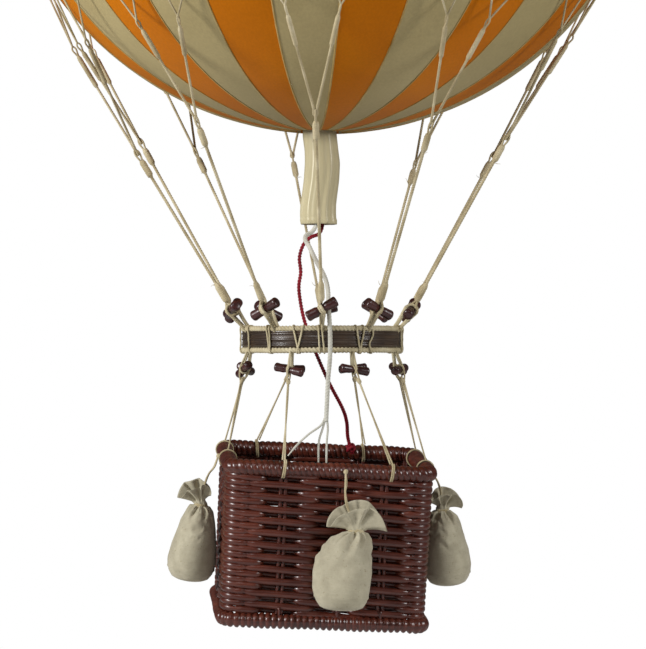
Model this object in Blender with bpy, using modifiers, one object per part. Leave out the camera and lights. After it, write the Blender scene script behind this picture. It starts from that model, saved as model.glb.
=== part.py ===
"""Model of a gas balloon with a striped envelope, a load hoop and a wicker basket.

It hangs from a loop on its crown, and the origin is where a hook bears inside that loop.
X is to the right of the front, Y is to the back and Z is up, all in metres.
"""

import math

import bmesh
import bpy
from mathutils import Matrix, Vector

MM = 0.001
GAP = 0.3 * MM

# Envelope and crown
ENVELOPE_RADIUS = 160.0 * MM
ENVELOPE_WALL = 10.0 * MM
ENVELOPE_TOP = -11.1 * MM
ENVELOPE_CENTRE = ENVELOPE_TOP - ENVELOPE_RADIUS
ENVELOPE_STEPS = 48
OUTER_SEGMENTS = 20
INNER_SEGMENTS = 10
CROWN_CAP_RADIUS = 15.0 * MM
CROWN_CAP_HEIGHT = 4.0 * MM
LOOP_WIRE = 1.2 * MM
LOOP_HALF_WIDTH = 6.0 * MM

# Throat, a soft tube that leaves the envelope a little to the left of its axis
THROAT_X = -2.8 * MM
THROAT_RADIUS = 8.5 * MM
THROAT_WALL = 0.9 * MM
THROAT_MOUTH = -375.0 * MM

# Load hoop
HOOP_X = -1.9 * MM
HOOP_RADIUS = 37.5 * MM
HOOP_ROPE = 1.35 * MM
HOOP_TOP = -425.2 * MM
HOOP_BOTTOM = -435.3 * MM
HOOP_THICKNESS = 2.2 * MM
ROPE_TURN = math.radians(2.3)

# Stays, from the toggles round the hoop to the envelope
STAY_COUNT = 10
STAY_RADIUS = 0.7 * MM
STAY_SPLICE = 1.75 * MM
BRANCH_RADIUS = 0.6 * MM
BRANCH_SPLICE = 1.25 * MM
TIP_GAP = 0.1 * MM

# Each stay: the bearing and level of its fork, the bearings and level of its two nodes, and its slope.
# A bearing is in degrees from the front, turning to the right.
STAYS = (
    (-3.3, -321.0, -8.1, 3.5, -285.0, 0.577),
    (31.4, -332.7, 27.1, 38.2, -288.0, 0.577),
    (70.0, -334.2, 66.5, 79.0, -287.0, 0.577),
    (110.6, -337.9, 101.0, 112.0, -287.0, 0.577),
    (148.3, -338.7, 141.3, 151.6, -287.0, 0.577),
    (190.3, -333.9, 183.0, 194.2, -287.0, 0.577),
    (225.1, -333.4, 217.4, 227.9, -287.0, 0.577),
    (255.4, -331.9, 253.0, 266.0, -287.0, 0.577),
    (280.0, -340.4, 279.0, 294.0, -292.0, 0.607),
    (322.2, -329.8, 315.3, 327.2, -287.5, 0.577),
)

# Toggles above and below the hoop
UPPER_TOGGLE_RING = 45.0 * MM
UPPER_TOGGLE_LEVEL = -416.2 * MM
UPPER_TOGGLE_LENGTH = 16.0 * MM
UPPER_TOGGLE_RADIUS = 2.75 * MM
UPPER_TOGGLE_TILT = (29, -24, 20, -32, 30, -18, 25, -35, 15, 26)
LOWER_COUNT = 8
LOWER_TOGGLE_RING = 40.0 * MM
LOWER_TOGGLE_LEVEL = -444.5 * MM
LOWER_TOGGLE_LENGTH = 14.5 * MM
LOWER_TOGGLE_RADIUS = 2.2 * MM
LOWER_TOGGLE_TILT = (-8, 6, 10, -5, 4, 12, 20, -12)
BECKET_RADIUS = 1.8 * MM
LINE_RADIUS = 0.4 * MM

# Basket, in its own tilted frame, whose origin is the middle of the rim
BASKET_CENTRE = Vector((-2.5, 1.4, -523.8)) * MM
BASKET_TURN = math.radians(4.8)
BASKET_PITCH = math.radians(4.4)
BASKET_ROLL = math.radians(2.95)
BASKET_HEIGHT = 71.2 * MM
RIM_WIDTH = 93.4 * MM
RIM_DEPTH = 77.0 * MM
RIM_CORNER = 6.5 * MM
RIM_RADIUS = 3.7 * MM
FOOT_WIDTH = 94.1 * MM
FOOT_DEPTH = 77.7 * MM
FOOT_RADIUS = 3.3 * MM
WALL_WIDTH = 96.6 * MM
WALL_DEPTH = 80.2 * MM
WALL_CORNER = 8.5 * MM
WALL_TAPER = 1.2 * MM
WALL_THICKNESS = 3.6 * MM
WEAVER_ROWS = 23
WEAVER_RELIEF = 0.9 * MM
FLOOR_THICKNESS = 3.0 * MM

# Where each basket line reaches the rim, in the basket's frame
LINE_FEET = (
    (28.1, -38.5),
    (46.7, -18.0),
    (46.7, 24.0),
    (22.5, 38.5),
    (-30.0, 38.5),
    (-46.7, 29.0),
    (-46.7, -7.0),
    (-22.3, -38.5),
)

# Sandbags, one on each side of the basket
BAG_STRING = 0.5 * MM
BAG_SIDES = 16
BAG_NECK_OUT = 11.5 * MM

# Each bag: where its string leaves the rim, its turn, its lean in degrees and how far its neck hangs below the rim
BAGS = (
    ("front", 6.5 * MM, -RIM_DEPTH / 2, 0, 5.0, 25.9 * MM),
    ("right", RIM_WIDTH / 2, 0.0, 90, 5.5, 21.3 * MM),
    ("back", -8.0 * MM, RIM_DEPTH / 2, 180, 5.0, 24.0 * MM),
    ("left", -RIM_WIDTH / 2, -2.0 * MM, 270, 4.0, 23.4 * MM),
)

# Rings of a bag from its mouth down: half its width, half its depth and the height above its neck
BAG_RINGS = (
    (10.0, 5.3, 14.6), (13.0, 6.9, 12.0), (10.3, 5.6, 6.0), (5.0, 3.6, 1.0), (3.4, 3.0, -1.0), (6.0, 5.2, -6.0),
    (9.5, 8.2, -14.0), (12.3, 9.9, -23.0), (14.1, 11.2, -31.0), (13.9, 11.1, -35.2), (12.5, 9.9, -36.9),
)

# Loose ropes from the throat, as their routes
WHITE_RADIUS = 1.1 * MM
WHITE_ROUTE = (
    (-4.4, -5.6, -371.0), (-4.7, -5.7, -375.6), (-6.6, -7.0, -378.9), (-9.3, -9.4, -380.6),
    (-9.8, -12.0, -383.0), (-7.9, -14.5, -386.2), (-6.0, -18.5, -390.3), (-3.9, -23.0, -394.6),
    (-1.7, -27.0, -398.5), (0.1, -31.2, -402.9), (1.0, -35.2, -407.6), (1.2, -38.4, -413.0),
    (1.5, -40.4, -419.0), (1.9, -41.2, -426.0), (2.0, -41.4, -433.0), (1.8, -41.2, -440.0),
    (1.0, -40.0, -449.0), (0.5, -38.0, -459.5), (0.1, -36.6, -468.5),
)
RED_RADIUS = 0.95 * MM
RED_ROUTE = (
    (-1.8, 6.1, -370.5), (-1.7, 5.6, -375.6), (-3.4, 3.0, -379.4), (-7.2, -0.6, -381.2),
    (-10.6, -3.0, -384.6), (-12.6, -4.4, -391.0), (-12.0, -5.0, -398.0), (-12.9, -5.0, -404.6),
    (-12.3, -4.8, -411.4), (-10.6, -4.0, -420.0), (-7.4, -2.0, -430.0), (-3.4, 2.0, -440.0),
    (2.0, 8.0, -452.0), (8.0, 15.5, -463.5), (10.2, 21.5, -470.5), (10.9, 28.6, -478.6),
    (13.1, 33.2, -486.4),
)
STRAND_RADIUS = 0.55 * MM
STRAND_ROUTES = (
    ((-0.2, -36.6, -466.5), (-2.4, -36.9, -470.5), (-8.0, -38.4, -474.5), (-13.2, -40.0, -479.2),
     (-17.7, -41.5, -484.4)),
    ((0.1, -36.6, -466.5), (-1.5, -36.4, -472.0), (-3.3, -36.0, -478.5), (-3.5, -35.3, -490.0)),
    ((0.4, -36.6, -466.5), (0.9, -36.2, -472.0), (0.4, -35.7, -478.5), (0.2, -35.0, -490.6)),
)


def clear_scene():
    for obj in list(bpy.data.objects):
        bpy.data.objects.remove(obj, do_unlink=True)


def new_collection(name):
    collection = bpy.data.collections.new(name)
    bpy.context.scene.collection.children.link(collection)
    return collection


def material(name, colour, roughness, metallic=0.0):
    mat = bpy.data.materials.new(name)
    mat.use_nodes = True
    shader = mat.node_tree.nodes["Principled BSDF"]
    shader.inputs["Base Color"].default_value = (*colour, 1.0)
    shader.inputs["Roughness"].default_value = roughness
    shader.inputs["Metallic"].default_value = metallic
    return mat


def new_object(name, data, mat, matrix=None, parent=None):
    obj = bpy.data.objects.new(name, data)
    PARTS.objects.link(obj)
    if mat is not None:
        obj.data.materials.append(mat)
    if parent is not None:
        obj.parent = parent
    if matrix is not None:
        obj.matrix_local = matrix
    return obj


def turned(name, profile, steps, mat, matrix=None, parent=None, closed=False):
    """A turned solid: its profile runs top to bottom down the outer side."""
    mesh = bpy.data.meshes.new(name)
    edges = [(i, i + 1) for i in range(len(profile) - 1)]
    if closed:
        edges.append((len(profile) - 1, 0))
    mesh.from_pydata([(r, 0.0, z) for r, z in profile], edges, [])
    obj = new_object(name, mesh, mat, matrix, parent)
    screw = obj.modifiers.new("Turn", "SCREW")
    screw.steps = steps
    screw.render_steps = steps
    screw.use_merge_vertices = True
    screw.merge_threshold = 0.00005
    screw.use_smooth_shade = True
    return obj


def curve_data(name, points, radius, radii=None, cyclic=False, resolution=2, caps=True):
    curve = bpy.data.curves.new(name, "CURVE")
    curve.dimensions = "3D"
    curve.bevel_depth = radius
    curve.bevel_resolution = resolution
    curve.use_fill_caps = caps
    spline = curve.splines.new("POLY")
    spline.points.add(len(points) - 1)
    for i, point in enumerate(points):
        spline.points[i].co = (*point, 1.0)
        spline.points[i].radius = 1.0 if radii is None else radii[i] / radius
    spline.use_cyclic_u = cyclic
    return curve


def tube(name, points, radius, mat, radii=None, cyclic=False, parent=None, resolution=2):
    return new_object(name, curve_data(name, points, radius, radii, cyclic, resolution), mat, parent=parent)


def tube_mesh(name, points, radius, radii=None, resolution=2, caps=True):
    """A tube as a mesh with welded caps, for pieces that are cut or joined."""
    data = curve_data(name, points, radius, radii, False, resolution, caps)
    obj = bpy.data.objects.new(name, data)
    bpy.context.scene.collection.objects.link(obj)
    bpy.context.view_layer.update()
    evaluated = obj.evaluated_get(bpy.context.evaluated_depsgraph_get())
    mesh = bpy.data.meshes.new_from_object(evaluated)
    bpy.data.objects.remove(obj)
    bpy.data.curves.remove(data)
    bm = bmesh.new()
    bm.from_mesh(mesh)
    bmesh.ops.remove_doubles(bm, verts=bm.verts, dist=0.00001)
    bm.to_mesh(mesh)
    bm.free()
    return mesh


def join_to(obj, meshes):
    """Boolean unions of further pieces with an object."""
    for i, mesh in enumerate(meshes):
        cutter = bpy.data.objects.new(f"{obj.name}_join_{i:02d}", mesh)
        CUTTERS.objects.link(cutter)
        cutter.hide_render = True
        cutter.display_type = "WIRE"
        union = obj.modifiers.new(f"Join {i}", "BOOLEAN")
        union.operation = "UNION"
        union.object = cutter


def torus_mesh(name, level):
    bpy.ops.mesh.primitive_torus_add(
        major_radius=HOOP_RADIUS, minor_radius=HOOP_ROPE, major_segments=40, minor_segments=6,
        location=(HOOP_X, 0.0, level), rotation=(0.0, 0.0, ROPE_TURN)
    )
    obj = bpy.context.object
    mesh = obj.data
    mesh.transform(obj.matrix_world)
    mesh.name = name
    bpy.data.objects.remove(obj)
    mesh.shade_smooth()
    return mesh


def smooth_route(points, count):
    """A smooth curve through the route's own points, as evenly spaced points along it."""
    knots = [Vector(p) * MM for p in points]
    padded = [knots[0] * 2 - knots[1], *knots, knots[-1] * 2 - knots[-2]]
    fine = []
    for i in range(len(knots) - 1):
        a, b, c, d = padded[i:i + 4]
        for k in range(8):
            t = k / 8
            fine.append(0.5 * (2 * b + (c - a) * t + (2 * a - 5 * b + 4 * c - d) * t ** 2
                               + (3 * b - a - 3 * c + d) * t ** 3))
    fine.append(knots[-1])
    lengths = [0.0]
    for a, b in zip(fine, fine[1:]):
        lengths.append(lengths[-1] + (b - a).length)
    result = []
    j = 0
    for i in range(count):
        target = lengths[-1] * i / (count - 1)
        while j < len(lengths) - 2 and lengths[j + 1] < target:
            j += 1
        share = (target - lengths[j]) / (lengths[j + 1] - lengths[j])
        result.append(fine[j].lerp(fine[j + 1], share))
    return result


def at_bearing(bearing, radius, level, centre_x=0.0):
    """The point at a bearing from the front, turning to the right."""
    return Vector((centre_x + radius * math.sin(bearing), -radius * math.cos(bearing), level))


def round_rectangle(width, depth, corner, per_corner):
    """Points of a rectangle with round corners, anticlockwise from above."""
    points = []
    for quadrant in range(4):
        sx = (1, -1, -1, 1)[quadrant]
        sy = (1, 1, -1, -1)[quadrant]
        cx = sx * (width / 2 - corner)
        cy = sy * (depth / 2 - corner)
        for i in range(per_corner):
            angle = math.pi / 2 * (quadrant + i / (per_corner - 1))
            points.append((cx + corner * math.cos(angle), cy + corner * math.sin(angle)))
    return points


def envelope():
    outer = ENVELOPE_RADIUS
    inner = ENVELOPE_RADIUS - ENVELOPE_WALL
    bore = THROAT_RADIUS + abs(THROAT_X) + 0.6 * MM
    outer_end = math.pi - math.asin(bore / outer)
    inner_end = math.pi - math.asin(bore / inner)
    profile = []
    for i in range(OUTER_SEGMENTS + 1):
        angle = outer_end * i / OUTER_SEGMENTS
        profile.append((outer * math.sin(angle), outer * math.cos(angle)))
    for i in range(INNER_SEGMENTS, -1, -1):
        angle = inner_end * i / INNER_SEGMENTS
        profile.append((inner * math.sin(angle), inner * math.cos(angle)))
    matrix = Matrix.Translation((0.0, 0.0, ENVELOPE_CENTRE))
    return turned("envelope", profile, ENVELOPE_STEPS, ORANGE, matrix)


def crown():
    """A turned cap that sits on the envelope's top, with the hanging loop on it."""
    seat = ENVELOPE_RADIUS + GAP
    angles = [math.asin(CROWN_CAP_RADIUS / seat) * i / 4 for i in range(5)]
    underside = [(seat * math.sin(a), ENVELOPE_CENTRE + seat * math.cos(a)) for a in reversed(angles)]
    top = ENVELOPE_TOP + CROWN_CAP_HEIGHT
    rim = underside[0][1]
    profile = [(0.0, top), (CROWN_CAP_RADIUS - 6 * MM, top), (CROWN_CAP_RADIUS - 3 * MM, top - 0.8 * MM),
               (CROWN_CAP_RADIUS - 0.6 * MM, rim + 2.2 * MM), (CROWN_CAP_RADIUS, rim + 1.2 * MM)]
    turned("crown_cap", profile + underside, 32, WOOD)
    foot = top + GAP
    shoulder = LOOP_WIRE - LOOP_HALF_WIDTH
    points = [(-LOOP_HALF_WIDTH, 0.0, foot)]
    for i in range(9):
        angle = math.pi * i / 8
        points.append((-LOOP_HALF_WIDTH * math.cos(angle), 0.0, shoulder + LOOP_HALF_WIDTH * math.sin(angle)))
    points.append((LOOP_HALF_WIDTH, 0.0, foot))
    tube("hanging_loop", points, LOOP_WIRE, BRASS)


def throat():
    """A soft tube with a slight S bend, open at both ends."""
    top = ENVELOPE_CENTRE - ENVELOPE_RADIUS + 7.0 * MM
    sway = ((0.0, 0.0), (0.25, 0.3), (0.45, 0.6), (0.6, 0.2), (0.8, -0.5), (1.0, -0.4))
    points = [(THROAT_X + x * MM, 0.0, top + (THROAT_MOUTH - top) * share) for share, x in sway]
    mesh = tube_mesh("throat", points, THROAT_RADIUS, resolution=6, caps=False)
    obj = new_object("throat", mesh, CREAM)
    solidify = obj.modifiers.new("Wall", "SOLIDIFY")
    solidify.thickness = THROAT_WALL
    solidify.offset = -1.0
    return obj


def toggle(name, centre, bearing, tilt, length, radius):
    """A turned toggle with flared ends and a waist, lying along the hoop."""
    half = length / 2
    waist = radius * 0.72
    flare = 1.4 * MM
    profile = [(0.0, half), (radius * 0.85, half), (radius, half - flare), (waist, half * 0.5),
               (waist, -half * 0.5), (radius, flare - half), (radius * 0.85, -half), (0.0, -half)]
    lie = Matrix.Rotation(bearing, 4, "Z") @ Matrix.Rotation(math.radians(90 - tilt), 4, "Y")
    return turned(name, profile, 10, DARK_WOOD, Matrix.Translation(centre) @ lie)


def hoop():
    """A cane band between two ropes, with the beckets that hold the toggles."""
    top = HOOP_TOP - HOOP_ROPE - GAP
    bottom = HOOP_BOTTOM + HOOP_ROPE + GAP
    outer = HOOP_RADIUS + HOOP_THICKNESS / 2
    inner = HOOP_RADIUS - HOOP_THICKNESS / 2
    profile = [(outer, top), (outer, bottom), (inner, bottom), (inner, top)]
    turned("hoop_band", profile, 48, CANE, Matrix.Translation((HOOP_X, 0.0, 0.0)), closed=True)
    rope = new_object("hoop_rope_upper", torus_mesh("hoop_rope_upper", HOOP_TOP), ROPE)
    beckets = []
    for i in range(STAY_COUNT):
        bearing = math.tau * i / STAY_COUNT
        start = at_bearing(bearing, HOOP_RADIUS, HOOP_TOP, HOOP_X)
        end = at_bearing(bearing, UPPER_TOGGLE_RING, UPPER_TOGGLE_LEVEL, HOOP_X)
        reach = 1 - (UPPER_TOGGLE_RADIUS + GAP) / (end - start).length
        beckets.append(tube_mesh("becket", (start, start.lerp(end, reach)), BECKET_RADIUS))
    join_to(rope, beckets)
    rope = new_object("hoop_rope_lower", torus_mesh("hoop_rope_lower", HOOP_BOTTOM), ROPE)
    beckets = []
    for i in range(LOWER_COUNT):
        bearing = math.tau * (i + 0.5) / LOWER_COUNT
        start = at_bearing(bearing, HOOP_RADIUS, HOOP_BOTTOM, HOOP_X)
        end = at_bearing(bearing, LOWER_TOGGLE_RING, LOWER_TOGGLE_LEVEL, HOOP_X)
        reach = 1 - (LOWER_TOGGLE_RADIUS + GAP) / (end - start).length
        beckets.append(tube_mesh("becket", (start, start.lerp(end, reach)), BECKET_RADIUS * 0.6))
    join_to(rope, beckets)


def branch_mesh(root, node):
    """A branch with a served splice below its node, and on to where it comes to lie on the envelope."""
    centre = Vector((0.0, 0.0, ENVELOPE_CENTRE))
    seat = ENVELOPE_RADIUS + BRANCH_RADIUS + TIP_GAP
    outward = (node - centre).normalized()
    upward = Vector((0.0, 0.0, 1.0))
    upward = (upward - outward * outward.z).normalized()
    turn = math.acos(seat / (node - centre).length)
    tip = centre + (outward * math.cos(turn) + upward * math.sin(turn)) * seat
    marks = ((0.0, BRANCH_RADIUS), (0.1, BRANCH_RADIUS), (0.62, BRANCH_RADIUS), (0.64, BRANCH_SPLICE),
             (0.8, BRANCH_SPLICE), (0.83, 0.9 * MM), (1.0, 0.9 * MM))
    points = [root.lerp(node, share) for share, _ in marks]
    radii = [radius for _, radius in marks]
    points += [node.lerp(tip, 0.1), tip]
    radii += [BRANCH_RADIUS, BRANCH_RADIUS]
    return tube_mesh("branch", points, BRANCH_RADIUS, radii)


def stays():
    """Ten taut stays, each forked below the envelope, and the toggles that hold them."""
    for i, (fork_bearing, fork_level, left, right, node_level, slope) in enumerate(STAYS):
        bearing = math.tau * i / STAY_COUNT
        seat = at_bearing(bearing, UPPER_TOGGLE_RING, UPPER_TOGGLE_LEVEL, HOOP_X)
        toggle(f"upper_toggle_{i + 1:02d}", seat, bearing, UPPER_TOGGLE_TILT[i], UPPER_TOGGLE_LENGTH,
               UPPER_TOGGLE_RADIUS)
        reach = UPPER_TOGGLE_RING + (fork_level * MM - UPPER_TOGGLE_LEVEL) * slope
        fork = at_bearing(math.radians(fork_bearing), reach, fork_level * MM, HOOP_X / 2)
        along = (fork - seat).normalized()
        start = seat + along * (UPPER_TOGGLE_RADIUS + GAP)
        length = (fork - start).length
        marks = ((0.0, 1.2 * MM), (4.5 * MM, 1.3 * MM), (6 * MM, STAY_SPLICE), (13 * MM, STAY_SPLICE),
                 (15 * MM, STAY_RADIUS), (length - 16 * MM, STAY_RADIUS), (length - 15 * MM, STAY_SPLICE),
                 (length - 7 * MM, STAY_SPLICE), (length - 6 * MM, 1.1 * MM), (length, 1.1 * MM))
        points = [start + along * distance for distance, _ in marks]
        radii = [radius for _, radius in marks]
        obj = new_object(f"stay_{i + 1:02d}", tube_mesh("stay", points, STAY_RADIUS, radii), ROPE)
        branches = []
        for node_bearing in (left, right):
            reach = UPPER_TOGGLE_RING + (node_level * MM - UPPER_TOGGLE_LEVEL) * slope
            node = at_bearing(math.radians(node_bearing), reach, node_level * MM, HOOP_X / 2)
            branches.append(branch_mesh(fork - along * (2.5 * MM), node))
        join_to(obj, branches)


def basket_frame():
    frame = bpy.data.objects.new("basket_frame", None)
    bpy.context.scene.collection.objects.link(frame)
    turn = (Matrix.Rotation(BASKET_ROLL, 4, "Y") @ Matrix.Rotation(BASKET_PITCH, 4, "X")
            @ Matrix.Rotation(BASKET_TURN, 4, "Z"))
    rim = Matrix.Translation((0.0, 0.0, BASKET_HEIGHT / 2))
    frame.matrix_world = Matrix.Translation(BASKET_CENTRE) @ turn @ rim
    return frame


def border(name, width, depth, radius, level, frame):
    """A thick wrapped border round the basket."""
    points = [(x, y, level) for x, y in round_rectangle(width, depth, RIM_CORNER, 5)]
    return tube(name, points, radius, WICKER, cyclic=True, parent=frame)


def basket_wall(frame):
    """One wall all round, with a ridge for each row of weavers."""
    top = -RIM_RADIUS - GAP
    bottom = FOOT_RADIUS + GAP - BASKET_HEIGHT
    pitch = (top - bottom) / WEAVER_ROWS
    rows = []
    for i in range(WEAVER_ROWS):
        level = top - pitch * i
        rows.append((level, 0.0))
        rows.append((level - pitch / 2, WEAVER_RELIEF))
    rows.append((bottom, 0.0))
    bm = bmesh.new()
    rings = []
    for level, bulge in rows:
        grow = 2 * bulge - WALL_TAPER * (level - top) / (bottom - top)
        shape = round_rectangle(WALL_WIDTH + grow, WALL_DEPTH + grow, WALL_CORNER + bulge, 5)
        rings.append([bm.verts.new((x, y, level)) for x, y in shape])
    thick = WALL_THICKNESS
    for level in (bottom, top):
        shrink = 2 * thick + (WALL_TAPER if level == bottom else 0.0)
        shape = round_rectangle(WALL_WIDTH - shrink, WALL_DEPTH - shrink, WALL_CORNER - thick, 5)
        rings.append([bm.verts.new((x, y, level)) for x, y in shape])
    rings.append(rings[0])
    for upper, lower in zip(rings, rings[1:]):
        for k in range(len(upper)):
            n = (k + 1) % len(upper)
            bm.faces.new((upper[k], lower[k], lower[n], upper[n]))
    mesh = bpy.data.meshes.new("basket_wall")
    bm.to_mesh(mesh)
    bm.free()
    return new_object("basket_wall", mesh, WICKER, parent=frame)


def basket_floor(frame):
    """A flat floor of slats inside the foot of the wall."""
    inset = 2 * (WALL_THICKNESS + GAP) + WALL_TAPER
    corner = WALL_CORNER - WALL_THICKNESS - GAP
    shape = round_rectangle(WALL_WIDTH - inset, WALL_DEPTH - inset, corner, 5)
    curve = bpy.data.curves.new("basket_floor", "CURVE")
    curve.dimensions = "2D"
    curve.fill_mode = "BOTH"
    curve.extrude = FLOOR_THICKNESS / 2
    spline = curve.splines.new("POLY")
    spline.points.add(len(shape) - 1)
    for i, (x, y) in enumerate(shape):
        spline.points[i].co = (x, y, 0.0, 1.0)
    spline.use_cyclic_u = True
    level = FOOT_RADIUS + GAP + FLOOR_THICKNESS / 2 - BASKET_HEIGHT
    return new_object("basket_floor", curve, CANE, Matrix.Translation((0.0, 0.0, level)), frame)


def basket_lines(frame):
    """Eight taut lines, each a long narrow loop from its toggle down to the rim."""
    for i, foot in enumerate(LINE_FEET):
        bearing = math.tau * (i + 0.5) / LOWER_COUNT
        seat = at_bearing(bearing, LOWER_TOGGLE_RING, LOWER_TOGGLE_LEVEL, HOOP_X)
        toggle(f"lower_toggle_{i + 1:02d}", seat, bearing, LOWER_TOGGLE_TILT[i], LOWER_TOGGLE_LENGTH,
               LOWER_TOGGLE_RADIUS)
        end = frame.matrix_world @ Vector((foot[0] * MM, foot[1] * MM, RIM_RADIUS + GAP + LINE_RADIUS))
        down = (end - seat).normalized()
        outward = Vector((math.sin(bearing), -math.cos(bearing), 0.0))
        side = (outward - down * outward.dot(down)).normalized()
        top = seat + down * (LOWER_TOGGLE_RADIUS + GAP + LINE_RADIUS)
        length = (end - top).length
        half = ((0.0, 0.0), (0.03, 1.5), (0.3, 1.2), (0.75, 0.8), (0.985, 0.55), (1.0, 0.0))
        points = [top + down * (length * share) + side * (wide * MM) for share, wide in half]
        points += [top + down * (length * share) - side * (wide * MM) for share, wide in reversed(half[1:-1])]
        tube(f"basket_line_{i + 1:02d}", points, LINE_RADIUS, ROPE, cyclic=True)


def bag_mesh(name):
    """A filled cloth bag with a gathered neck, wider than it is deep."""
    bm = bmesh.new()
    rings = []
    for half_width, half_depth, level in BAG_RINGS:
        ring = []
        for i in range(BAG_SIDES):
            angle = math.tau * i / BAG_SIDES
            point = Vector((half_width * math.cos(angle), half_depth * math.sin(angle), level))
            ring.append(bm.verts.new(point * MM))
        rings.append(ring)
    for upper, lower in zip(rings, rings[1:]):
        for k in range(BAG_SIDES):
            n = (k + 1) % BAG_SIDES
            bm.faces.new((upper[k], lower[k], lower[n], upper[n]))
    bm.faces.new(rings[0])
    bm.faces.new(reversed(rings[-1]))
    mesh = bpy.data.meshes.new(name)
    bm.to_mesh(mesh)
    bm.free()
    return mesh


def sandbags(frame):
    """Four sandbags, each on a string from the rim, hinged where the string leaves it."""
    out = RIM_RADIUS + GAP + BAG_STRING
    centre_y = out - BAG_NECK_OUT
    for name, x, y, turn, lean, drop in BAGS:
        pivot = bpy.data.objects.new(f"{name}_pivot", None)
        bpy.context.scene.collection.objects.link(pivot)
        pivot.parent = frame
        spin = Matrix.Rotation(math.radians(turn), 4, "Z")
        pivot.matrix_local = Matrix.Translation((x, y, 0.0)) @ spin @ Matrix.Translation((0.0, -out, 0.0))
        neck = Vector((0.0, centre_y, -drop))
        tilt = Matrix.Rotation(math.radians(-lean), 4, "X")
        new_object(f"sandbag_{name}", bag_mesh(f"sandbag_{name}"), LINEN, Matrix.Translation(neck) @ tilt, pivot)
        seat = neck + tilt.to_3x3() @ Vector((0.0, 0.0, BAG_RINGS[0][2] * MM + GAP + BAG_STRING))
        points = [Vector((0.0, 0.0, 0.0)), Vector((0.0, centre_y * 0.3, seat.z * 0.5)), seat]
        tube(f"bag_string_{name}", points, BAG_STRING, ROPE, parent=pivot)


def loose_ropes():
    main = tube_mesh("white_rope", smooth_route(WHITE_ROUTE, 32), WHITE_RADIUS)
    white = new_object("white_rope", main, WHITE)
    join_to(white, [tube_mesh("strand", smooth_route(route, 8), STRAND_RADIUS) for route in STRAND_ROUTES])
    tube("red_rope", smooth_route(RED_ROUTE, 36), RED_RADIUS, RED)


clear_scene()
PARTS = new_collection("balloon_model")
CUTTERS = new_collection("cutters")
ORANGE = material("envelope_stripes", (0.55, 0.17, 0.01), 0.35)
CREAM = material("throat_cloth", (0.52, 0.46, 0.29), 0.3)
ROPE = material("stay_rope", (0.52, 0.44, 0.24), 0.9)
WOOD = material("crown_wood", (0.1, 0.03, 0.02), 0.4)
DARK_WOOD = material("toggle_wood", (0.06, 0.015, 0.015), 0.35)
CANE = material("hoop_cane", (0.03, 0.015, 0.01), 0.5)
BRASS = material("loop_brass", (0.6, 0.4, 0.15), 0.3, 1.0)
WICKER = material("basket_wicker", (0.11, 0.03, 0.02), 0.35)
LINEN = material("sandbag_linen", (0.5, 0.46, 0.33), 0.9)
WHITE = material("white_rope", (0.6, 0.6, 0.55), 0.9)
RED = material("red_rope", (0.3, 0.01, 0.02), 0.8)

envelope()
crown()
throat()
hoop()
stays()
basket = basket_frame()
basket_wall(basket)
basket_floor(basket)
border("basket_rim", RIM_WIDTH, RIM_DEPTH, RIM_RADIUS, 0.0, basket)
border("basket_foot", FOOT_WIDTH, FOOT_DEPTH, FOOT_RADIUS, -BASKET_HEIGHT, basket)
basket_lines(basket)
sandbags(basket)
loose_ropes()
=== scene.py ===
"""The finished look of a model gas balloon: striped envelope, net, load hoop, wicker basket and sandbags."""

import math

import bpy
import numpy as np
from mathutils import Matrix, Vector


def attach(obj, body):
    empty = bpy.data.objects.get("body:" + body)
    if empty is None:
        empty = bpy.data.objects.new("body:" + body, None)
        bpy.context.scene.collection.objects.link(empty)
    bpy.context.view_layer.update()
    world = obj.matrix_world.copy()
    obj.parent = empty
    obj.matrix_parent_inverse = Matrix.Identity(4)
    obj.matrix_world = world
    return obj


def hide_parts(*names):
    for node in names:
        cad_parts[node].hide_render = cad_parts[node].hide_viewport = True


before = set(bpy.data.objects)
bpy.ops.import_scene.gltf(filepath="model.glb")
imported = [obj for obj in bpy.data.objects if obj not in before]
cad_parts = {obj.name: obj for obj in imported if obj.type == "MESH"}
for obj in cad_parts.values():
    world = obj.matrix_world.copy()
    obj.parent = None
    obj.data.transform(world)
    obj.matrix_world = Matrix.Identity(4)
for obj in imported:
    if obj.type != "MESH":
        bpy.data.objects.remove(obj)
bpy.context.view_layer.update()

MM = 0.001
TAU = math.tau
UP = np.array((0.0, 0.0, 1.0))
RNG = np.random.default_rng(7)

# Main sizes, in metres and in the frame's axes
ENVELOPE_RADIUS = 160.0 * MM
ENVELOPE_CENTRE = np.array((0.0, 0.0, -171.1)) * MM
GORES = 24
GORE_TURN = -10.8
POLE_TILT = 1.2
THROAT_LEVELS = (-326.0, -332.1, -339.3, -345.5, -353.7, -360.9, -365.7, -370.5, -375.0)
THROAT_CENTRES = (-3.0, -3.03, -2.16, -1.73, -2.2, -3.1, -3.7, -3.8, -3.3)
THROAT_RADII = (7.6, 8.2, 8.1, 8.45, 8.55, 8.5, 8.55, 8.65, 8.6)
HOOP_X = -1.9 * MM
HOOP_RADIUS = 37.5 * MM
HOOP_ROPE = 1.35 * MM
HOOP_TOP = -425.2 * MM
HOOP_BOTTOM = -435.3 * MM
UPPER_RING = 45.0 * MM
UPPER_LEVEL = -416.2 * MM
UPPER_LENGTH = 16.0 * MM
UPPER_RADIUS = 2.75 * MM
UPPER_TILT = (29, -24, 20, -32, 30, -18, 25, -35, 15, 26)
LOWER_RING = 40.0 * MM
LOWER_LEVEL = -444.5 * MM
LOWER_LENGTH = 14.5 * MM
LOWER_RADIUS = 2.2 * MM
LOWER_TILT = (-8, 6, 10, -5, 4, 12, 20, -12)
GAP = 0.3 * MM

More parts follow.
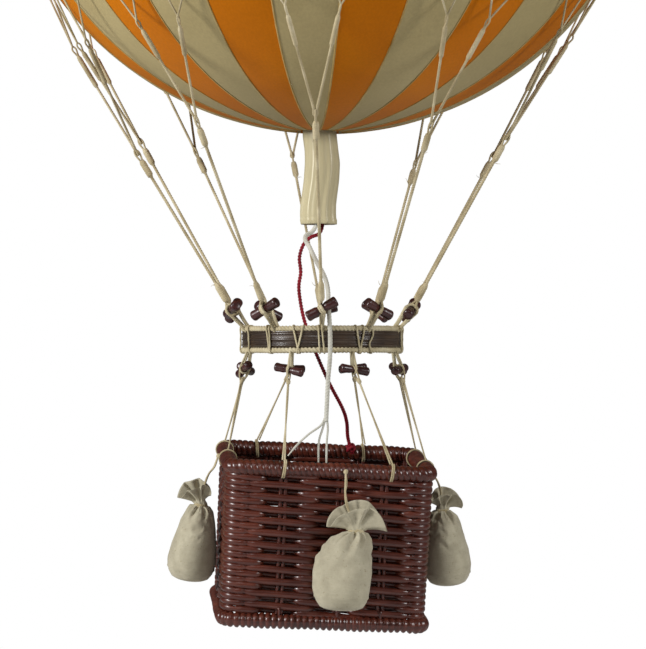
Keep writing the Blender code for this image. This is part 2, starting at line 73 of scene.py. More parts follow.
# Each stay: the bearing and level of its fork, the bearings and level of its two nodes, and its slope
STAYS = (
    (-2.3, -328.5, -8.1, 3.5, -285.0, 0.577),
    (31.4, -332.7, 27.1, 38.2, -288.0, 0.577),
    (70.0, -334.2, 66.5, 79.0, -287.0, 0.577),
    (110.6, -337.9, 101.0, 112.0, -287.0, 0.577),
    (148.3, -338.7, 141.3, 151.6, -287.0, 0.577),
    (190.3, -333.9, 183.0, 194.2, -287.0, 0.577),
    (225.1, -333.4, 217.4, 227.9, -287.0, 0.577),
    (255.4, -331.9, 253.0, 266.0, -287.0, 0.577),
    (280.0, -340.4, 279.0, 294.0, -292.0, 0.607),
    (322.2, -329.8, 315.3, 327.2, -287.5, 0.577),
)
STAY_RADIUS = 0.78 * MM
BRANCH_RADIUS = 0.66 * MM
NET_RADIUS = 0.5 * MM

# The basket's own tilted frame, whose origin is the middle of the rim
BASKET_HEIGHT = 71.2 * MM
BASKET = (
    Matrix.Translation(Vector((-2.5, 1.4, -523.8)) * MM)
    @ Matrix.Rotation(math.radians(2.95), 4, "Y") @ Matrix.Rotation(math.radians(4.4), 4, "X")
    @ Matrix.Rotation(math.radians(4.8), 4, "Z") @ Matrix.Translation((0.0, 0.0, BASKET_HEIGHT / 2))
)
RIM = (93.4 * MM, 77.0 * MM, 6.5 * MM, 3.7 * MM)
FOOT = (94.1 * MM, 77.7 * MM, 6.5 * MM, 3.3 * MM)
WALL_TAPER = 1.2 * MM
LINE_FEET = (
    (28.1, -38.5), (46.7, -18.0), (46.7, 24.0), (22.5, 38.5),
    (-30.0, 38.5), (-46.7, 29.0), (-46.7, -7.0), (-22.3, -38.5),
)

# Each sandbag: the place of its string on the rim, its turn, its lean and how far its neck hangs below the rim
BAGS = (
    ("front", 6.5, -38.5, 0, 5.0, 25.9),
    ("right", 46.7, 0.0, 90, 5.5, 21.3),
    ("back", -8.0, 38.5, 180, 5.0, 24.0),
    ("left", -46.7, -2.0, 270, 4.0, 23.4),
)
BAG_PIVOT_OUT = 4.5
BAG_NECK_OUT = 11.5

# Free ropes, as their routes
WHITE_RADIUS = 1.1 * MM
WHITE_ROUTE = (
    (-4.4, -5.6, -371.0), (-4.7, -5.7, -375.6), (-6.6, -7.0, -378.9), (-9.3, -9.4, -380.6),
    (-9.8, -12.0, -383.0), (-7.9, -14.5, -386.2), (-6.0, -18.5, -390.3), (-3.9, -23.0, -394.6),
    (-1.7, -27.0, -398.5), (0.1, -31.2, -402.9), (1.0, -35.2, -407.6), (1.2, -38.4, -413.0),
    (1.5, -40.4, -419.0), (1.9, -41.2, -426.0), (2.0, -41.4, -433.0), (1.8, -41.2, -440.0),
    (1.0, -40.0, -449.0), (0.5, -38.0, -459.5), (0.1, -36.6, -468.5),
)
RED_RADIUS = 0.95 * MM
RED_ROUTE = (
    (-1.8, 6.1, -370.5), (-1.7, 5.6, -375.6), (-3.4, 3.0, -379.4), (-7.2, -0.6, -381.2),
    (-10.6, -3.0, -384.6), (-12.6, -4.4, -391.0), (-12.0, -5.0, -398.0), (-12.9, -5.0, -404.6),
    (-12.3, -4.8, -411.4), (-10.6, -4.0, -420.0), (-7.4, -2.0, -430.0), (-3.4, 2.0, -440.0),
    (2.0, 8.0, -452.0), (8.0, 15.5, -463.5), (10.2, 21.5, -470.5), (10.9, 28.6, -478.6),
    (13.1, 33.2, -486.4),
)
STRAND_RADIUS = 0.55 * MM
STRAND_ROUTES = (
    ((-0.2, -36.6, -466.5), (-2.4, -36.9, -470.5), (-8.0, -38.4, -474.5), (-13.2, -40.0, -479.2),
     (-17.7, -41.5, -484.4)),
    ((0.1, -36.6, -466.5), (-1.5, -36.4, -472.0), (-3.3, -36.0, -478.5), (-3.5, -35.3, -490.0)),
    ((0.4, -36.6, -466.5), (0.9, -36.2, -472.0), (0.4, -35.7, -478.5), (0.2, -35.0, -490.6)),
)


def unit(vectors):
    vectors = np.asarray(vectors, float)
    return vectors / np.linalg.norm(vectors, axis=-1, keepdims=True)


def at_bearing(degrees, radius, level, centre_x=0.0):
    """The point at a bearing from the front, turning to the right."""
    angle = math.radians(degrees)
    return np.array((centre_x + radius * math.sin(angle), -radius * math.cos(angle), level))


def to_world(matrix, points):
    matrix = np.array(matrix)
    return np.asarray(points) @ matrix[:3, :3].T + matrix[:3, 3]


def route(points, step, closed=False):
    """A smooth curve through the points, as evenly spaced points along it."""
    knots = np.asarray(points, float)
    if closed:
        padded = np.concatenate([knots[-1:], knots, knots[:2]])
    else:
        padded = np.concatenate([2 * knots[:1] - knots[1:2], knots, 2 * knots[-1:] - knots[-2:-1]])
    fine = []
    share = np.linspace(0, 1, 12, endpoint=False)[:, None]
    for i in range(len(padded) - 3):
        a, b, c, d = padded[i:i + 4]
        fine.append(0.5 * (2 * b + (c - a) * share + (2 * a - 5 * b + 4 * c - d) * share ** 2
                           + (3 * b - a - 3 * c + d) * share ** 3))
    fine.append(padded[-2:-1])
    fine = np.concatenate(fine)
    return evenly(fine, step, closed)


def evenly(path, step, closed=False):
    distance = np.concatenate([[0.0], np.cumsum(np.linalg.norm(np.diff(path, axis=0), axis=1))])
    count = max(3, int(round(distance[-1] / step)) + 1)
    marks = np.linspace(0, distance[-1], count)
    result = np.stack([np.interp(marks, distance, path[:, k]) for k in range(3)], axis=1)
    return result[:-1] if closed else result


def line(a, b, step):
    a, b = np.asarray(a, float), np.asarray(b, float)
    count = max(2, int(math.ceil(np.linalg.norm(b - a) / step)) + 1)
    return a + (b - a) * np.linspace(0, 1, count)[:, None]


def path_length(path):
    return float(np.linalg.norm(np.diff(path, axis=0), axis=1).sum())


def across(path, closed=False, up=None):
    """Two unit vectors across a path at each of its points, turned as little as possible or held to up."""
    if closed:
        ahead = unit(np.roll(path, -1, 0) - np.roll(path, 1, 0))
    else:
        ahead = unit(np.gradient(path, axis=0))
    if up is not None:
        second = np.broadcast_to(up, ahead.shape)
        second = unit(second - ahead * np.sum(second * ahead, axis=1, keepdims=True))
        return np.cross(second, ahead), second
    first = np.empty_like(path)
    axis = np.eye(3)[int(np.argmin(np.abs(ahead[0])))]
    vector = np.cross(axis, ahead[0])
    for i, tangent in enumerate(ahead):
        vector = vector - tangent * (vector @ tangent)
        vector = vector / math.sqrt(vector @ vector)
        first[i] = vector
    return first, np.cross(ahead, first)


def skin(rings, closed=False, caps=True):
    """Quads over rings of points, with a fan over each open end."""
    count, sides = rings.shape[:2]
    index = np.arange(count * sides).reshape(count, sides)
    below = np.roll(index, -1, 0) if closed else index[1:]
    here = index if closed else index[:-1]
    quads = np.stack([here, np.roll(here, -1, 1), np.roll(below, -1, 1), below], axis=-1).reshape(-1, 4)
    points = rings.reshape(-1, 3)
    if closed or not caps:
        return points, quads, np.empty((0, 3), int)
    ends = np.stack([rings[0].mean(axis=0), rings[-1].mean(axis=0)])
    first, last = index[0], index[-1]
    a, b = len(points), len(points) + 1
    tris = np.concatenate([
        np.stack([np.full(sides, a), np.roll(first, -1), first], axis=1),
        np.stack([np.full(sides, b), last, np.roll(last, -1)], axis=1),
    ])
    return np.concatenate([points, ends]), quads, tris


def sweep(path, radius, sides=8, section=None, closed=False, up=None, flat=1.0):
    """A tube along a path. section changes its radius by distance and angle, and flat squeezes its second width."""
    path = np.asarray(path, float)
    first, second = across(path, closed, up)
    distance = np.concatenate([[0.0], np.cumsum(np.linalg.norm(np.diff(path, axis=0), axis=1))])
    angle = np.arange(sides) * TAU / sides
    widths = np.asarray(radius, float).reshape(-1, 1) * np.ones((len(path), sides))
    if section is not None:
        widths = widths * section(distance[:, None], angle[None, :])
    rings = path[:, None] + widths[..., None] * (
        np.cos(angle)[None, :, None] * first[:, None] + flat * np.sin(angle)[None, :, None] * second[:, None])
    return skin(rings, closed)


def laid(pitch, depth=0.2, strands=3, sharp=0.7):
    """The outline of a rope that is laid of round strands."""
    def section(distance, angle):
        lobe = np.abs(np.cos(0.5 * strands * (angle - TAU * distance / pitch)))
        return 1.0 - depth * (1.0 - lobe ** sharp)
    return section


def served(pitch, depth=0.08, turns=1):
    """The outline of a core that is wrapped with turns of thin cord."""
    def section(distance, angle):
        return 1.0 - depth * (1.0 - np.abs(np.cos(math.pi * (distance / pitch - turns * angle / TAU))) ** 0.6)
    return section


def braided(pitch, depth=0.25):
    """The outline of a round braid."""
    def section(distance, angle):
        turn = TAU * distance / pitch
        lobes = np.maximum(np.abs(np.cos(angle - turn)), np.abs(np.cos(angle + turn + 0.8)))
        return 1.0 - depth * (1.0 - lobes ** 1.5) / 0.6
    return section


class Build:
    """Gathers skins into one mesh."""

    def __init__(self):
        self.points, self.quads, self.tris = [], [], []
        self.quad_slots, self.tri_slots = [], []
        self.count = 0

    def add(self, part, slot=0):
        points, quads, tris = part
        self.points.append(points)
        self.quads.append(quads + self.count)
        self.tris.append(tris + self.count)
        self.quad_slots.append(np.full(len(quads), slot) if np.isscalar(slot) else slot)
        self.tri_slots.append(np.full(len(tris), slot if np.isscalar(slot) else 0))
        self.count += len(points)
        return self

    def make(self, name, materials, slot, nodes=(), body="balloon"):
        points, quads, tris = (np.concatenate(x) for x in (self.points, self.quads, self.tris))
        mesh = bpy.data.meshes.new(name)
        mesh.vertices.add(len(points))
        mesh.vertices.foreach_set("co", points.astype(np.float32).ravel())
        mesh.loops.add(quads.size + tris.size)
        mesh.loops.foreach_set("vertex_index", np.concatenate([quads.ravel(), tris.ravel()]).astype(np.int32))
        mesh.polygons.add(len(quads) + len(tris))
        starts = np.concatenate([np.arange(len(quads)) * 4, quads.size + np.arange(len(tris)) * 3])
        mesh.polygons.foreach_set("loop_start", starts.astype(np.int32))
        slots = np.concatenate(self.quad_slots + self.tri_slots)
        mesh.polygons.foreach_set("material_index", slots.astype(np.int32))
        for each in materials:
            mesh.materials.append(each)
        mesh.update(calc_edges=True)
        mesh.validate()
        mesh.shade_smooth()
        obj = bpy.data.objects.new(name, mesh)
        bpy.context.scene.collection.objects.link(obj)
        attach(obj, body)
        if nodes:
            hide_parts(*nodes)
        return obj


def put(tree, kind, settings=None, **sockets):
    """A node with its settings, and its inputs as values or as links."""
    node = tree.nodes.new(kind)
    for key, value in (settings or {}).items():
        setattr(node, key, value)
    for key, value in sockets.items():
        socket = node.inputs[key.replace("_", " ")]
        if isinstance(value, bpy.types.NodeSocket):
            tree.links.new(value, socket)
        else:
            socket.default_value = value
    return node


def start_material(name, **constants):
    mat = bpy.data.materials.new(name)
    mat.use_nodes = True
    tree = mat.node_tree
    shader = tree.nodes["Principled BSDF"]
    for key, value in constants.items():
        shader.inputs[key.replace("_", " ")].default_value = value
    place = put(tree, "ShaderNodeTexCoord").outputs["Object"]
    return mat, tree, shader, place


def scaled(tree, place, scale, turn=(0.0, 0.0, 0.0)):
    return put(tree, "ShaderNodeMapping", Vector=place, Scale=scale, Rotation=turn).outputs["Vector"]


def noise(tree, place, scale, detail=3.0, rough=0.55, twist=0.0):
    return put(tree, "ShaderNodeTexNoise", Vector=place, Scale=scale, Detail=detail, Roughness=rough,
               Distortion=twist).outputs["Fac"]


def ramp(tree, factor, stops):
    node = put(tree, "ShaderNodeValToRGB", Fac=factor)
    first, last = node.color_ramp.elements
    first.position, first.color = stops[0][0], (*stops[0][1], 1.0)
    last.position, last.color = stops[-1][0], (*stops[-1][1], 1.0)
    for position, colour in stops[1:-1]:
        node.color_ramp.elements.new(position).color = (*colour, 1.0)
    return node.outputs["Color"]


def blend_colours(tree, factor, a, b, kind="MIX"):
    return put(tree, "ShaderNodeMixRGB", {"blend_type": kind}, Fac=factor, Color1=a, Color2=b).outputs["Color"]


def remap(tree, value, low, high):
    return put(tree, "ShaderNodeMapRange", Value=value, To_Min=low, To_Max=high).outputs["Result"]


def bump(tree, shader, height, strength, distance):
    node = put(tree, "ShaderNodeBump", Height=height, Strength=strength, Distance=distance)
    tree.links.new(node.outputs["Normal"], shader.inputs["Normal"])


def maths(tree, operation, a, b):
    node = put(tree, "ShaderNodeMath", {"operation": operation})
    for socket, value in zip(node.inputs, (a, b)):
        if isinstance(value, bpy.types.NodeSocket):
            tree.links.new(value, socket)
        else:
            socket.default_value = value
    return node.outputs["Value"]


def silk(name, dark, main, light, tint, gloss=0.25, rough=(0.38, 0.52)):
    """Satin with fine slubs, in one colour."""
    mat, tree, shader, place = start_material(
        name, Specular_IOR_Level=gloss, Specular_Tint=(*tint, 1.0), Sheen_Weight=0.04, Sheen_Roughness=0.4,
        Sheen_Tint=(*tint, 1.0))
    cloudy = noise(tree, place, 14.0, 3.0)
    colour = ramp(tree, cloudy, ((0.3, dark), (0.55, main), (0.75, light)))
    slubs = noise(tree, scaled(tree, place, (900.0, 900.0, 60.0)), 1.0, 2.0)
    shade = ramp(tree, slubs, ((0.35, (0.88, 0.88, 0.88)), (0.65, (1.05, 1.05, 1.05))))
    colour = blend_colours(tree, 0.55, colour, shade, "MULTIPLY")
    tree.links.new(colour, shader.inputs["Base Color"])
    weave = noise(tree, scaled(tree, place, (1300.0, 1300.0, 2400.0)), 1.0, 2.0)
    tree.links.new(remap(tree, weave, *rough), shader.inputs["Roughness"])
    bump(tree, shader, weave, 0.12, 0.0002)
    return mat


def cordage(name, dark, main, light, fibre=3200.0, strength=0.5, rough=(0.75, 0.95)):
    """Spun cord: fibres along the cord, with darker and lighter stretches."""
    mat, tree, shader, place = start_material(
        name, Specular_IOR_Level=0.25, Sheen_Weight=0.3, Sheen_Roughness=0.6, Sheen_Tint=(*light, 1.0))
    stretches = noise(tree, place, 90.0, 3.0)
    colour = ramp(tree, stretches, ((0.3, dark), (0.52, main), (0.72, light)))
    fibres = noise(tree, place, fibre, 3.0, 0.7)
    shade = ramp(tree, fibres, ((0.3, (0.72, 0.7, 0.66)), (0.62, (1.1, 1.1, 1.1))))
    colour = blend_colours(tree, 0.7, colour, shade, "MULTIPLY")
    tree.links.new(colour, shader.inputs["Base Color"])
    tree.links.new(remap(tree, fibres, *rough), shader.inputs["Roughness"])
    bump(tree, shader, fibres, strength, 0.0002)
    return mat


def timber(name, dark, main, light, grain=(60.0, 420.0, 420.0), rough=(0.25, 0.42), coat=0.25, strength=0.15,
           coat_rough=0.18):
    """Stained and varnished wood or cane, with its grain."""
    mat, tree, shader, place = start_material(
        name, Specular_IOR_Level=0.5, Coat_Weight=coat, Coat_Roughness=coat_rough)
    streaks = noise(tree, scaled(tree, place, grain), 1.0, 4.0, 0.6, 0.4)
    patches = noise(tree, place, 55.0, 2.0)
    colour = ramp(tree, maths(tree, "MULTIPLY_ADD", streaks, 0.55), ((0.2, dark), (0.45, main), (0.62, light)))
    node = colour.node.inputs["Fac"].links[0].from_node
    tree.links.new(maths(tree, "MULTIPLY", patches, 0.42), node.inputs[2])
    tree.links.new(colour, shader.inputs["Base Color"])
    tree.links.new(remap(tree, streaks, *rough), shader.inputs["Roughness"])
    bump(tree, shader, streaks, strength, 0.0003)
    return mat


def linen():
    """Unbleached linen in a plain weave, with specks and thicker threads."""
    mat, tree, shader, place = start_material(
        "linen", Specular_IOR_Level=0.25, Sheen_Weight=0.25, Sheen_Roughness=0.6,
        Sheen_Tint=(0.9, 0.87, 0.75, 1.0))
    warped = noise(tree, place, 160.0, 2.0)
    along = noise(tree, scaled(tree, place, (420.0, 420.0, 3400.0)), 1.0, 2.0, 0.6)
    up_and_down = noise(tree, scaled(tree, place, (3400.0, 3400.0, 420.0)), 1.0, 2.0, 0.6)
    weave = maths(tree, "ADD", along, up_and_down)
    colour = ramp(tree, warped, ((0.3, (0.36, 0.325, 0.232)), (0.55, (0.425, 0.387, 0.28)), (0.75, (0.49, 0.45, 0.33))))
    shade = ramp(tree, maths(tree, "MULTIPLY", weave, 0.5), ((0.15, (0.78, 0.77, 0.74)), (0.7, (1.06, 1.06, 1.06))))
    colour = blend_colours(tree, 0.75, colour, shade, "MULTIPLY")
    specks = ramp(tree, noise(tree, place, 700.0, 2.0, 0.8), ((0.28, (0.55, 0.5, 0.38)), (0.36, (1.0, 1.0, 1.0))))
    colour = blend_colours(tree, 0.7, colour, specks, "MULTIPLY")
    tree.links.new(colour, shader.inputs["Base Color"])
    tree.links.new(remap(tree, warped, 0.82, 0.96), shader.inputs["Roughness"])
    bump(tree, shader, weave, 0.35, 0.0002)
    return mat


def brass():
    mat, tree, shader, place = start_material("brass", Metallic=1.0)
    cloudy = noise(tree, place, 400.0, 4.0)
    colour = ramp(tree, cloudy, ((0.3, (0.42, 0.27, 0.1)), (0.6, (0.68, 0.47, 0.2)), (0.8, (0.8, 0.6, 0.32))))
    tree.links.new(colour, shader.inputs["Base Color"])
    tree.links.new(remap(tree, cloudy, 0.2, 0.45), shader.inputs["Roughness"])
    bump(tree, shader, cloudy, 0.1, 0.0002)
    return mat


ORANGE = silk("orange_silk", (0.46, 0.128, 0.001), (0.55, 0.155, 0.0015), (0.62, 0.19, 0.0025), (1.0, 0.5, 0.12), 0.2)
CREAM = silk("cream_silk", (0.36, 0.29, 0.135), (0.42, 0.338, 0.16), (0.47, 0.385, 0.19), (1.0, 0.93, 0.8))
THROAT = silk("throat_silk", (0.47, 0.41, 0.245), (0.53, 0.47, 0.29), (0.59, 0.53, 0.335), (1.0, 0.96, 0.85), 0.5,
              (0.3, 0.42))
FRINGE = cordage("seam_braid", (0.32, 0.21, 0.06), (0.42, 0.29, 0.1), (0.5, 0.38, 0.16), 2600.0, 0.3)
ROPE = cordage("natural_rope", (0.34, 0.275, 0.155), (0.48, 0.405, 0.25), (0.62, 0.545, 0.37))
BRAID = cordage("hoop_rope", (0.36, 0.3, 0.175), (0.52, 0.455, 0.295), (0.66, 0.6, 0.42))
WHITE = cordage("white_rope", (0.46, 0.44, 0.38), (0.56, 0.55, 0.48), (0.68, 0.67, 0.6))
RED = cordage("red_rope", (0.13, 0.003, 0.009), (0.21, 0.006, 0.015), (0.32, 0.016, 0.03), 2600.0, 0.5, (0.5, 0.8))
TOGGLE = timber("toggle_wood", (0.01, 0.002, 0.002), (0.032, 0.006, 0.006), (0.07, 0.016, 0.014), coat=0.12,
                coat_rough=0.3)
CROWN = timber("crown_wood", (0.05, 0.014, 0.008), (0.11, 0.036, 0.02), (0.18, 0.07, 0.035))
CANE = timber("hoop_cane", (0.012, 0.008, 0.005), (0.034, 0.02, 0.012), (0.075, 0.046, 0.026), (40.0, 40.0, 1500.0))
WICKER = timber("wicker", (0.02, 0.003, 0.0012), (0.06, 0.0095, 0.004), (0.12, 0.026, 0.013), (70.0, 70.0, 900.0),
                (0.26, 0.42), 0.2, coat_rough=0.24)
STAKE = timber("stake_wicker", (0.018, 0.003, 0.0012), (0.05, 0.008, 0.004), (0.1, 0.022, 0.012),
               (900.0, 900.0, 70.0), (0.26, 0.42), 0.2, coat_rough=0.24)
PLANK = timber("floor_wood", (0.045, 0.016, 0.01), (0.09, 0.035, 0.02), (0.15, 0.07, 0.04), (500.0, 40.0, 500.0))
LINEN = linen()
BRASS = brass()

# Camera, at the photo's angle
camera_data = bpy.data.cameras.new("Camera")
camera_data.sensor_width = 36.0
camera_data.lens = 144.22
camera_data.clip_start = 0.01
camera = bpy.data.objects.new("Camera", camera_data)
camera.location = (-0.00135, -1.249, -0.433)
camera.rotation_euler = (Vector((-0.00135, 0.0, -0.4231)) - camera.location).to_track_quat("-Z", "Y").to_euler()
bpy.context.scene.collection.objects.link(camera)
bpy.context.scene.camera = camera


# Free ropes
def free_rope(name, points, radius, section, material, sides, step):
    path = route(np.array(points) * MM, step)
    obj = Build().add(sweep(path, radius, sides, section)).make(name, [material], name, (name,))
    return obj, path


white_rope, white_path = free_rope("white_rope", WHITE_ROUTE, WHITE_RADIUS, laid(4.6 * MM, 0.24), WHITE, 18, 0.26 * MM)
red_rope, red_path = free_rope("red_rope", RED_ROUTE, RED_RADIUS, braided(3.0 * MM, 0.3), RED, 14, 0.22 * MM)

strands = Build()
for each in STRAND_ROUTES:
    path = route(np.array(each) * MM, 0.2 * MM)
    taper = STRAND_RADIUS * np.interp(np.linspace(0, 1, len(path)), (0, 0.8, 1), (1, 0.95, 0.45))
    strands.add(sweep(path, taper, 9, laid(3.0 * MM, 0.22)))
white_strands = strands.make("white_rope_strands", [WHITE], "white_rope", ("white_rope",))

knot = Build()
knot_at, knot_along = red_path[-16], unit(red_path[-10] - red_path[-22])
knot_side = unit(np.cross(knot_along, np.array((0.3, 1.0, 0.2))))
knot_up = np.cross(knot_along, knot_side)
turns = []
for step in range(24):
    angle = TAU * step / 24
    swing = 1.55 + 0.35 * math.cos(3 * angle)
    turns.append(knot_at + (knot_side * swing * math.cos(2 * angle) + knot_up * swing * math.sin(2 * angle)
                            + knot_along * 1.15 * math.sin(3 * angle)) * MM)
knot.add(sweep(route(np.array(turns), 0.2 * MM, closed=True), 0.85 * RED_RADIUS, 12, braided(3.0 * MM, 0.25), closed=True))
red_knot = knot.make("red_rope_knot", [RED], "red_rope", ("red_rope",))


# Envelope: two skins over 24 gores, turned a little about its centre so that the gores meet at the throat
def gore_direction(bearing, polar):
    """Unit directions in the frame from bearing and polar angle, both in degrees about the gores' own axis."""
    bearing, polar = np.radians(bearing), np.radians(polar)
    bearing, polar = np.broadcast_arrays(bearing, polar)
    local = np.stack([np.sin(polar) * np.sin(bearing), -np.sin(polar) * np.cos(bearing), np.cos(polar)], axis=-1)
    tilt = math.radians(POLE_TILT)
    turned = local.copy()
    turned[..., 0] = local[..., 0] * math.cos(tilt) + local[..., 2] * math.sin(tilt)
    turned[..., 2] = -local[..., 0] * math.sin(tilt) + local[..., 2] * math.cos(tilt)
    return turned


def envelope_skin(radius, last, per_gore, rings, inside=False):
    bearings = GORE_TURN + 360.0 * np.arange(GORES * per_gore) / (GORES * per_gore)
    polar = np.linspace(0.0, last, rings + 1)[1:]
    across_gore = (np.arange(GORES * per_gore) % per_gore) / per_gore
    seam = np.exp(-(np.minimum(across_gore, 1 - across_gore) / 0.06) ** 2)
    puckers = np.sin(np.radians(polar) * 190.0)[:, None] * np.exp(
        -(np.minimum(across_gore, 1 - across_gore)[None] - 0.09) ** 2 / 0.0035)
    bulge = -0.0001 * seam[None] + 0.00005 * puckers
    if inside:
        bulge = 0.0 * bulge
    directions = gore_direction(bearings[None, :], polar[:, None])
    points = ENVELOPE_CENTRE + directions * (radius - 0.0001 + bulge)[..., None]
    return points


def stitch(points, slots):
    rings, sides = points.shape[:2]
    index = np.arange(rings * sides).reshape(rings, sides)
    quads = np.stack([index[:-1], index[1:], np.roll(index[1:], -1, 1), np.roll(index[:-1], -1, 1)], axis=-1)
    return quads.reshape(-1, 4), np.tile(slots, rings - 1)


def envelope():
    build = Build()
    bore = (8.5 + 2.8 + 0.3) * MM
    per_gore = 8
    outer = envelope_skin(ENVELOPE_RADIUS, 180 - math.degrees(math.asin(bore / ENVELOPE_RADIUS)), per_gore, 84)
    inner = envelope_skin(ENVELOPE_RADIUS - 9.8 * MM,
                          180 - math.degrees(math.asin(bore / (ENVELOPE_RADIUS - 9.8 * MM))), per_gore, 44, True)
    points = np.concatenate([outer, inner[::-1]])
    rings, sides = points.shape[:2]
    colour = (np.arange(sides) // per_gore + 1) % 2
    quads, slots = stitch(points, colour)
    quads = quads[:, ::-1]
    top, bottom = rings * sides, rings * sides + 1
    last = (rings - 1) * sides + np.arange(sides)
    first = np.arange(sides)
    tris = np.concatenate([
        np.stack([np.full(sides, top), first, np.roll(first, -1)], axis=1),
        np.stack([np.full(sides, bottom), np.roll(last, -1), last], axis=1)])
    ends = np.stack([ENVELOPE_CENTRE + gore_direction(0.0, 0.0) * (ENVELOPE_RADIUS - 0.0001),
                     ENVELOPE_CENTRE + gore_direction(0.0, 0.0) * (ENVELOPE_RADIUS - 9.8 * MM)])
    build.add((np.concatenate([points.reshape(-1, 3), ends]), quads, tris), slots)
    build.tri_slots[-1] = np.concatenate([colour, colour])
    return build.make("envelope", [ORANGE, CREAM], "striped_silk", ("envelope",))


envelope()


def seam_braids():
    """A narrow braid over each seam between two gores."""
    build = Build()
    last = 180 - math.degrees(math.asin((8.5 + 2.8 + 0.4) * MM / ENVELOPE_RADIUS))
    for i in range(GORES):
        polar = np.linspace(6.0, last, 150)
        directions = gore_direction(GORE_TURN + 15.0 * i, polar)
        path = ENVELOPE_CENTRE + directions * (ENVELOPE_RADIUS - 0.05 * MM)
        ripple = 0.42 * MM * (1 + 0.16 * np.sin(np.radians(polar) * 160 * 2.0 + i) * np.sin(polar * 3.1 + i))
        build.add(sweep_flat(path, ripple, 0.13 * MM, directions))
    return build.make("seam_braids", [FRINGE], "striped_silk", ("envelope",))


def sweep_flat(path, width, thickness, normals, closed=False):
    """A flat band along a path, lying on the surface with these normals."""
    ahead = unit(np.roll(path, -1, 0) - np.roll(path, 1, 0)) if closed else unit(np.gradient(path, axis=0))
    side = unit(np.cross(ahead, normals))
    outward = np.cross(side, ahead)
    width = np.asarray(width, float).reshape(-1, 1) * np.ones((len(path), 1))
    corners = []
    for a, b in ((-1.0, -1.0), (-0.55, 1.0), (0.55, 1.0), (1.0, -1.0)):
        corners.append(path + side * a * width + outward * b * thickness)
    rings = np.stack(corners, axis=1)
    return skin(rings[:, ::-1], closed)


seam_braids()


# Throat: a soft tube with flutes and folds
def throat():
    sides, rows = 96, 74
    levels = np.linspace(THROAT_LEVELS[0], THROAT_LEVELS[-1], rows)
    centre = np.interp(levels, THROAT_LEVELS[::-1], THROAT_CENTRES[::-1])
    radius = np.interp(levels, THROAT_LEVELS[::-1], THROAT_RADII[::-1])
    kernel = np.exp(-np.linspace(-2, 2, 9) ** 2)
    kernel /= kernel.sum()
    centre = np.convolve(np.pad(centre, 4, "edge"), kernel, "valid")
    radius = np.convolve(np.pad(radius, 4, "edge"), kernel, "valid")
    angle = TAU * np.arange(sides) / sides
    share = np.linspace(0, 1, rows)[:, None]
    a = angle[None]
    flute = 0.16 * np.cos(7 * a + 1.0 + 2.2 * share) + 0.14 * np.cos(11 * a - 0.6 + 1.5 * share) \
        + 0.07 * np.cos(19 * a + 2.0 + 3.0 * share)
    flute = flute * (0.5 + 0.9 * share)
    fold = -0.55 * np.exp(-(((a - 0.15) % TAU - math.pi) * 1.3 + (share - 0.62) * 5.5) ** 2 / 0.05) \
        * np.exp(-((share - 0.62) / 0.16) ** 2)
    second = -0.35 * np.exp(-(((a + 0.75) % TAU - math.pi) * 1.5 - (share - 0.78) * 4.5) ** 2 / 0.05) \
        * np.exp(-((share - 0.8) / 0.15) ** 2)
    hem = 0.28 * np.exp(-((share - 0.965) / 0.012) ** 2) + 0.12 * np.exp(-((share - 0.99) / 0.008) ** 2)
    radii = radius[:, None] + flute + fold + second + hem
    outer = np.stack([centre[:, None] + radii * np.sin(a), -radii * np.cos(a) * 0.97,
                      np.broadcast_to(levels[:, None], radii.shape)], axis=-1) * MM
    inner = np.stack([centre[:, None] + (radii - 0.5) * np.sin(a), -(radii - 0.5) * np.cos(a) * 0.97,
                      np.broadcast_to(levels[:, None], radii.shape)], axis=-1) * MM
    rings = np.concatenate([outer, inner[::-1]])
    build = Build().add(skin(rings, closed=True))
    return build.make("throat", [THROAT], "cream_silk", ("throat",))


throat()


# Crown cap and hanging loop
def turned(profile, steps, matrix=None):
    """Rings of a turned shape from its (radius, height) outline, top to bottom, both ends on the axis."""
    angle = TAU * np.arange(steps) / steps
    body = np.array(profile[1:-1])
    rings = np.stack([body[:, :1] * np.cos(angle), body[:, :1] * np.sin(angle),
                      np.broadcast_to(body[:, 1:], (len(body), steps))], axis=-1)
    points, quads, tris = skin(rings[::-1])
    points[-2] = (0.0, 0.0, profile[-1][1])
    points[-1] = (0.0, 0.0, profile[0][1])
    if matrix is not None:
        points = to_world(matrix, points)
    return points, quads, tris


def crown():
    cap = []
    for radius, level in ((0.0, -7.1), (3.0, -7.1), (7.5, -7.15), (9.6, -7.3), (11.4, -7.75), (12.6, -8.1), (13.2, -8.5),
                          (13.25, -8.9), (14.3, -9.0), (14.9, -9.4), (15.0, -10.2), (14.9, -11.3), (14.4, -11.55)):
        cap.append((radius * MM, level * MM))
    seat = 160.3
    for radius in (12.0, 9.0, 6.0, 3.0, 0.0):
        cap.append((radius * MM, (-171.1 + math.sqrt(seat ** 2 - radius ** 2)) * MM))
    Build().add(turned(cap, 96)).make("crown_cap", [CROWN], "crown_wood", ("crown_cap",))
    arc = [(-6.0 * MM, 0.0, -6.9 * MM)]
    for i in range(33):
        angle = math.pi * i / 32
        arc.append((-6.0 * MM * math.cos(angle), 0.0, -4.8 * MM + 6.0 * MM * math.sin(angle)))
    arc.append((6.0 * MM, 0.0, -6.9 * MM))
    loop = Build().add(sweep(route(arc, 0.3 * MM), 1.19 * MM, 20))
    for x in (-6.0, 6.0):
        collar = [(0.0, 0.95), (1.3, 0.95), (1.75, 0.7), (1.8, 0.35), (2.2, 0.1), (2.2, 0.0), (0.0, 0.0)]
        profile = [(r * MM, (z - 7.05) * MM) for r, z in collar]
        loop.add(turned(profile, 24, Matrix.Translation((x * MM, 0, 0))))
    loop.make("hanging_loop", [BRASS], "brass", ("hanging_loop",))


crown()


